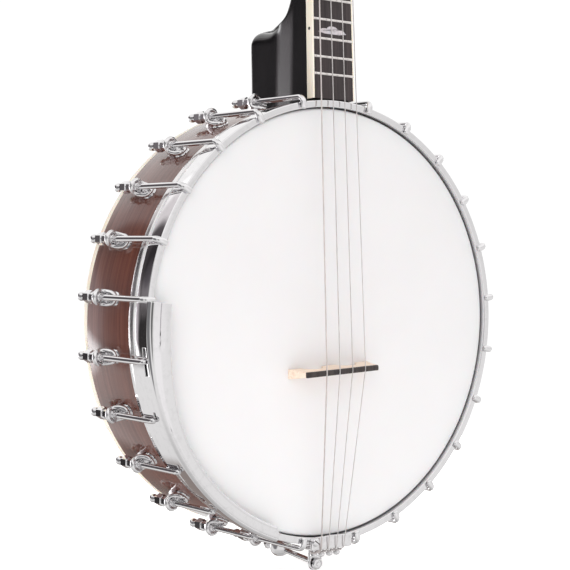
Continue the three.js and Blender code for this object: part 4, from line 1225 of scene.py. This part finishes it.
def hole_shade_mesh():
    """A dark disc on the post: painted shade standing for the inside of the string hole's mouth."""
    hole = turned([(0, -3.02), (0.75, -3.02), (0.75, -2.6), (0, -2.6)], 0.02, 16)
    return mesh_from("post_hole_shade", [place_shell(hole, at(0, -7.5, 0) @ turn("Z", 90) @ at(0, 0.72, 0))])


def tuner_grip_mesh():
    """The oval button, thinner round its edge and a little waisted."""
    oval = [(BUTTON["half_width"] * math.cos(a), BUTTON["half_height"] * math.sin(a)) for a in around(56)]
    rings = []
    for lift, inwards in BUTTON_EDGE:
        waist = 1 - BUTTON["waist"] * (1 - abs(lift) / BUTTON["half_thickness"])
        rings.append([(x * waist, BUTTON["centre"] + z * waist, lift) for x, z in inset(oval, inwards)])
    return mesh_from("tuner_grip", [loft(rings)], 60)


def button_stem_mesh():
    """The shaft with its collar under the button, and the screw on top of the button."""
    stem = turned([(0, 12.7), (2.7, 12.7), (2.7, 29.3), (4.0, 29.6), (4.6, 30.4), (4.2, 31.6), (3.0, 32.6),
                   (0, 33)], 0.4, 32)
    screw = turned([(0, 46.9), (2.3, 46.9), (2.3, 47.7), (1.5, 48.3), (0, 48.4)], 0.25, 24)
    return mesh_from("button_stem", [stem, screw])


def coil_path():
    """The string's turns on the post."""
    angles = [math.pi * k / COIL["points_per_half_turn"] for k in range(COIL["points"])]
    radius, rise = COIL["radius"], COIL["pitch"] / math.pi
    return [(radius * math.cos(a), COIL["start"] + rise * a, radius * math.sin(a)) for a in angles]


def build_tuners():
    """Four tuners: the case is fixed, and the post and the button each ride on a body of their own."""
    grip = tuner_grip_mesh()
    case = tuner_case_mesh()
    bushing = tuner_bushing_mesh()
    post = string_post_mesh()
    hole = hole_shade_mesh()
    stem = button_stem_mesh()
    for i, (x, z) in enumerate(TUNER_SPOTS):
        n = i + 1
        spot = HEADSTOCK @ moved(x, 0, z)
        housing_node, post_node, button_node = f"tuner_{n}_housing", f"tuner_{n}_post", f"tuner_{n}_button"
        piece(f"tuner_case_{n}", case, CHROME, housing_node, spot)
        piece(f"tuner_bushing_{n}", bushing, CHROME, housing_node, spot)
        piece(f"string_post_{n}", post, CHROME, post_node, spot, f"post_{n}")
        # The string hole is a dark disc of painted shade, not a bore in the post.
        piece(f"post_hole_shade_{n}", hole, EBONY_AND_SHADE, None, spot, f"post_{n}")
        piece(f"button_grip_{n}", grip, PEARLOID, button_node, spot, f"button_{n}")
        piece(f"button_stem_{n}", stem, CHROME, button_node, spot, f"button_{n}")
        look, radius = (WOUND, 0.45) if n == 1 else (WIRE, 0.36)
        coil = [tube(coil_path(), radius, 8)]
        piece(f"string_coil_{n}", coil, look, None, spot, f"post_{n}")


# ------------------------------------------------------------------ bridge
BRIDGE_HALF, BRIDGE_FOOT_HALF, BRIDGE_TOP = 30.0, 33.3, 13.9
BRIDGE_THICKNESS = {"foot": 3.2, "top": 1.8}
# Across the bridge's thickness: share of the half thickness, and distance inwards of the rounded edge.
BRIDGE_LAYERS = [(-1, 0.7), (-0.93, 0.22), (-0.8, 0.0), (0.8, 0.0), (0.93, 0.22), (1, 0.7)]
CAP = {"front": -16.15, "back": -14.05, "notch": 0.45, "trim": 0.25}


def bridge_half_thickness(height):
    """Half the bridge's thickness at a height over the head."""
    return lerp(BRIDGE_THICKNESS["foot"], BRIDGE_THICKNESS["top"], clamp(height / BRIDGE_TOP))


def build_bridge():
    """Maple on three feet, thinner towards the top."""
    half, foot, top = BRIDGE_HALF, BRIDGE_FOOT_HALF, BRIDGE_TOP
    outline = [(-foot, 0), (-23, 0)]
    outline += bezier((-23, 0), (-20.5, 9.4), (-8.5, 9.4), (-5.5, 0), 14)
    outline += [(5.5, 0)] + bezier((5.5, 0), (8.5, 9.4), (20.5, 9.4), (23, 0), 14)
    outline += [(foot, 0), (foot - 0.4, 2.4), (half + 1.4, 6.5), (half, top)]
    outline += [(-half, top), (-half - 1.4, 6.5), (-foot + 0.4, 2.4)]
    rings = []
    for share, inwards in BRIDGE_LAYERS:
        rings.append([(x, -0.15 - height, share * bridge_half_thickness(height))
                      for x, height in inset(outline, inwards)])
    piece("bridge_wood", [loft(rings)], MAPLE, "bridge", BRIDGE, crease=45)


def build_bridge_cap():
    """The ebony strip on the bridge, with a notch for each string."""
    notches = [x - BRIDGE_X for x in STRING_X["bridge"]]
    stations = [-BRIDGE_HALF, -BRIDGE_HALF + 0.35]
    for x in notches:
        stations += [x - 0.7, x - 0.4, x + 0.4, x + 0.7]
    stations += [BRIDGE_HALF - 0.35, BRIDGE_HALF]
    rings = []
    for x in stations:
        notch = CAP["notch"] if any(abs(x - s) < 0.5 for s in notches) else 0.0
        trim = CAP["trim"] if abs(x) == BRIDGE_HALF else 0.0
        front, back = CAP["front"] + notch + trim, CAP["back"] - trim
        section = [(front, -1.2 + trim), (front, 1.2 - trim), (front + 0.35, 1.7 - trim), (back, 1.8 - trim),
                   (back, -1.8 + trim), (front + 0.35, -1.7 + trim)]
        rings.append([(x, y, z) for y, z in section])
    piece("bridge_top_cap", [loft(rings)], EBONY_AND_SHADE, "bridge_cap", BRIDGE, crease=40)


# ------------------------------------------------------------------ strings
STRING_RADII = (0.48, 0.38, 0.33, 0.3)
TUNER_OF_STRING = (0, 2, 3, 1)
# From the loop up the tailpiece's wall and over its edge: depth and height.
STRING_START = [(0.4, -149.2), (-2.5, -148.7), (-5.2, -147.9), (-5.9, -146.8), (-6.2, -145.4)]
STRING_LOOP = {"radius": 2.15, "y": 1.5, "z": -149.9, "wave": 0.25}
TWIST = {"radius": 0.4, "turns": 3.2, "start": -1.0, "length": 2.6, "z": -149.3, "end": 9, "points": 40}


def in_pot_mm(place, x, y, z):
    """A point of another frame, in the pot frame's millimetres."""
    return tuple((POT.inverted() @ (place @ (Vector((x, y, z)) * MM))) / MM)


def stretch(start, end, shares):
    """Points of a straight line from start to end."""
    return [tuple(lerp(a, b, share) for a, b in zip(start, end)) for share in shares]


def string_path(i):
    """From the tailpiece over the bridge and the nut to the post."""
    x_tail, x_bridge, x_nut = (STRING_X[key][i] for key in ("tail", "bridge", "nut"))
    tuner_x, tuner_z = TUNER_SPOTS[TUNER_OF_STRING[i]]
    side = math.copysign(1, tuner_x)
    on_bridge = (x_bridge, -16.35, BRIDGE_Z + (x_bridge - BRIDGE_X) * math.tan(BRIDGE_SLANT))
    over_nut = in_pot_mm(NECK, x_nut, -0.6 - STRING_RADII[i], BOARD_LENGTH + 1.6)
    at_post = in_pot_mm(HEADSTOCK, tuner_x - side * 3.25, -7.5, tuner_z - 0.6)
    path = [(x_tail, y, z) for y, z in STRING_START]
    path += stretch(path[-1], on_bridge, (0.12, 0.4, 0.7, 0.97, 1.0))
    path += stretch(on_bridge, over_nut, (0.03, 0.3, 0.6, 0.97, 1.0))
    return path + stretch(over_nut, at_post, (0.1, 0.5, 1.0))


def loop_path(x):
    """The string's loop round its post on the tailpiece."""
    radius, y, z = STRING_LOOP["radius"], STRING_LOOP["y"], STRING_LOOP["z"]
    return [(x + radius * math.cos(a), y - radius * math.sin(a), z + STRING_LOOP["wave"] * math.sin(2 * a))
            for a in around(20)]


def twist_path(x):
    """The short twist above the loop, where the string is wound round itself."""
    radius, turns, end = TWIST["radius"], TWIST["turns"], TWIST["end"]
    angles = [end * k / TWIST["points"] for k in range(TWIST["points"] + 1)]
    return [(x + radius * math.cos(a * turns), TWIST["start"] - TWIST["length"] * a / end,
             TWIST["z"] + radius * math.sin(a * turns)) for a in angles]


def build_strings():
    """Each string with its loop; the thickest one is wound."""
    for i, radius in enumerate(STRING_RADII):
        look = WOUND if i == 0 else WIRE
        wire = tube(string_path(i), radius, 10)
        piece(f"string_wire_{i + 1}", [wire], look, f"string_{i + 1}")
        x = STRING_X["tail"][i]
        loop = tube(loop_path(x), radius * 0.9, 8, closed=True)
        twist = tube(twist_path(x), radius * 0.8, 8)
        piece(f"string_loop_{i + 1}", [loop, twist], look)


build_rim()
build_inner_hoops()
build_head()
build_tension_hoop()
build_brackets()
build_rod()
build_tailpiece()
build_tail_bolt()
build_armrest()
build_neck()
build_headstock()
build_truss_cover()
build_headstock_inlay()
build_fingerboard()
build_markers()
build_string_nut()
build_tuners()
build_bridge()
build_bridge_cap()
build_strings()


# ------------------------------------------------------------------ stage, lights and camera
FLOOR = {"radius": 0.8, "sides": 96, "below": 0.0005, "glow": 0.75}


def floor_look():
    """Plain white paper, lit a little from within so that it stays as white as the room."""
    look = Look("floor_paper", Roughness=0.9, Specular_IOR_Level=0.1)
    tone = look.noise(3, detail=2)
    look.colour(look.ramp(tone, [(0.3, (0.82, 0.82, 0.82)), (0.7, (0.84, 0.84, 0.84))]))
    look.shader.inputs["Emission Color"].default_value = (1, 1, 1, 1)
    look.shader.inputs["Emission Strength"].default_value = FLOOR["glow"]
    return look.material


def build_floor():
    """A round sheet just under the banjo, in metres."""
    z = CAD_BOX[0][2] - FLOOR["below"]
    edge = [(x, y, z) for x, y in polygon(FLOOR["sides"], FLOOR["radius"])]
    mesh = bpy.data.meshes.new("floor")
    mesh.from_pydata(edge, [], [tuple(range(len(edge)))])
    mesh.materials.append(floor_look())
    floor = bpy.data.objects.new("floor", mesh)
    scene.collection.objects.link(floor)
    floor.visible_glossy = False


# Places in the room that the polished metal reflects: direction, the cosines between which it fades in, tint.
SPOTS = [{"towards": (-0.547, 0.80, 0.16), "reach": (0.92, 0.95), "tint": (0.13, 0.12, 0.125)},
         {"towards": (-0.40, 0.80, 0.42), "reach": (0.94, 0.985), "tint": (0.45, 0.43, 0.44)},
         {"towards": (-0.545, 0.786, 0.293), "reach": (0.985, 0.995), "tint": (0.6, 0.6, 0.62)},
         {"towards": (-0.585, 0.786, 0.18), "reach": (0.986, 0.996), "tint": (2.0, 2.0, 2.05)},
         {"towards": (-0.595, 0.786, -0.14), "reach": (0.984, 0.992), "tint": (0.3, 0.3, 0.3)},
         {"towards": (0.78, 0.62, -0.03), "reach": (0.93, 0.975), "tint": (0.22, 0.2, 0.2)},
         {"towards": (0.27, 0.72, -0.63), "reach": (0.915, 0.955), "tint": (0.36, 0.31, 0.29)},
         {"towards": (-0.618, -0.786, 0.05), "reach": (0.955, 0.985), "tint": (0.2, 0.2, 0.2)},
         {"towards": (-0.93, 0.1, 0.02), "reach": (0.8, 0.92), "tint": (0.25, 0.25, 0.26)},
         {"towards": (0.2, -0.98, 0.0), "reach": (0.9, 0.97), "tint": (1.12, 1.11, 1.12)},
         {"towards": (-0.264, 0.964, -0.02), "reach": (0.962, 0.985), "tint": (5.5, 5.5, 5.6)},
         {"towards": (-0.3, 0.8, 0.5), "reach": (0.975, 0.99), "tint": (1.6, 1.6, 1.6)}]
# The room's brightness from straight below to straight above, its tint, and the white behind the object.
ROOM = [(0.0, 0.5), (0.25, 0.84), (0.45, 0.88), (0.5, 0.8), (0.6, 0.82), (0.72, 1.03), (0.85, 1.08),
        (1.0, 0.9)]
ROOM_TINT = (1.0, 0.99, 0.985)
BACKDROP = (1.05, 1.05, 1.05)


def build_world():
    """White to the camera. To the object: a bright room with a dark corner behind it on the left."""
    world = bpy.data.worlds.new("studio")
    scene.world = world
    world.use_nodes = True
    nodes, links = world.node_tree.nodes, world.node_tree.links

    def mix(share, a, tint, blend):
        """A colour mixed with a tint, by a share that is worked out for each direction."""
        node = nodes.new("ShaderNodeMix")
        node.data_type, node.blend_type = "RGBA", blend
        first, second = colour_sockets(node.inputs)
        links.new(share, node.inputs[0])
        links.new(a, first)
        second.default_value = (*tint, 1)
        return colour_sockets(node.outputs)[0]

    direction = nodes.new("ShaderNodeTexCoord").outputs["Generated"]
    parts = nodes.new("ShaderNodeSeparateXYZ")
    links.new(direction, parts.inputs["Vector"])
    height = nodes.new("ShaderNodeMapRange")
    height.inputs["From Min"].default_value = -1
    links.new(parts.outputs["Z"], height.inputs["Value"])
    ramp = nodes.new("ShaderNodeValToRGB")
    fill_ramp(ramp, [(position, tuple(grey * share for share in ROOM_TINT)) for position, grey in ROOM])
    links.new(height.outputs["Result"], ramp.inputs["Fac"])
    colour = ramp.outputs["Color"]
    for spot in SPOTS:
        facing = nodes.new("ShaderNodeVectorMath")
        facing.operation = "DOT_PRODUCT"
        facing.inputs[1].default_value = Vector(spot["towards"]).normalized()
        links.new(direction, facing.inputs[0])
        shade = nodes.new("ShaderNodeMapRange")
        shade.interpolation_type = "SMOOTHSTEP"
        shade.inputs["From Min"].default_value, shade.inputs["From Max"].default_value = spot["reach"]
        links.new(facing.outputs["Value"], shade.inputs["Value"])
        colour = mix(shade.outputs["Result"], colour, spot["tint"], "MULTIPLY")
    seen = nodes.new("ShaderNodeLightPath").outputs["Is Camera Ray"]
    links.new(mix(seen, colour, BACKDROP, "MIX"), nodes["Background"].inputs["Color"])


def softbox(name, where, size, power):
    """A rectangular light, in metres and watts, aimed at the middle of the head."""
    light = bpy.data.lights.new(name, "AREA")
    light.shape = "RECTANGLE"
    light.size, light.size_y = size
    light.energy = power
    obj = bpy.data.objects.new(name, light)
    scene.collection.objects.link(obj)
    obj.location = where
    obj.rotation_euler = (POT.translation - Vector(where)).to_track_quat("-Z", "Y").to_euler()
    obj.visible_glossy = False


# Angles in degrees, lengths in millimetres. The shifts are from the middle of the head; far is in metres.
CAMERA = {"azimuth": -38.18, "elevation": 1.09, "roll": 0.77, "distance": 1012.4, "right": -29.3, "up": 24.4,
          "lens": 97.85, "sensor": 36, "far": 50}


def build_camera():
    """A camera that looks at the head from the front left, a little rolled."""
    azimuth, elevation, roll = (math.radians(CAMERA[key]) for key in ("azimuth", "elevation", "roll"))
    flat = math.cos(elevation)
    back = Vector((math.sin(azimuth) * flat, -math.cos(azimuth) * flat, math.sin(elevation)))
    level = Vector((math.cos(azimuth), math.sin(azimuth), 0))
    upright = back.cross(level)
    right = level * math.cos(roll) + upright * math.sin(roll)
    up = upright * math.cos(roll) - level * math.sin(roll)
    place = (back * CAMERA["distance"] + right * CAMERA["right"] + up * CAMERA["up"]) * MM + POT.translation
    camera = bpy.data.cameras.new("camera")
    camera.lens = CAMERA["lens"]
    camera.sensor_width = CAMERA["sensor"]
    camera.clip_end = CAMERA["far"]
    obj = bpy.data.objects.new("camera", camera)
    scene.collection.objects.link(obj)
    obj.matrix_world = Matrix.Translation(place) @ Matrix((right, up, back)).transposed().to_4x4()
    scene.camera = obj


build_floor()
build_world()
softbox("overhead_softbox", (-0.3, -0.4, 1.9), (1.8, 1.6), 2.2)
softbox("front_softbox", (-0.9, -0.7, 0.5), (0.7, 0.9), 4.0)
build_camera()
scene.view_settings.view_transform = "Standard"
scene.view_settings.look = "None"
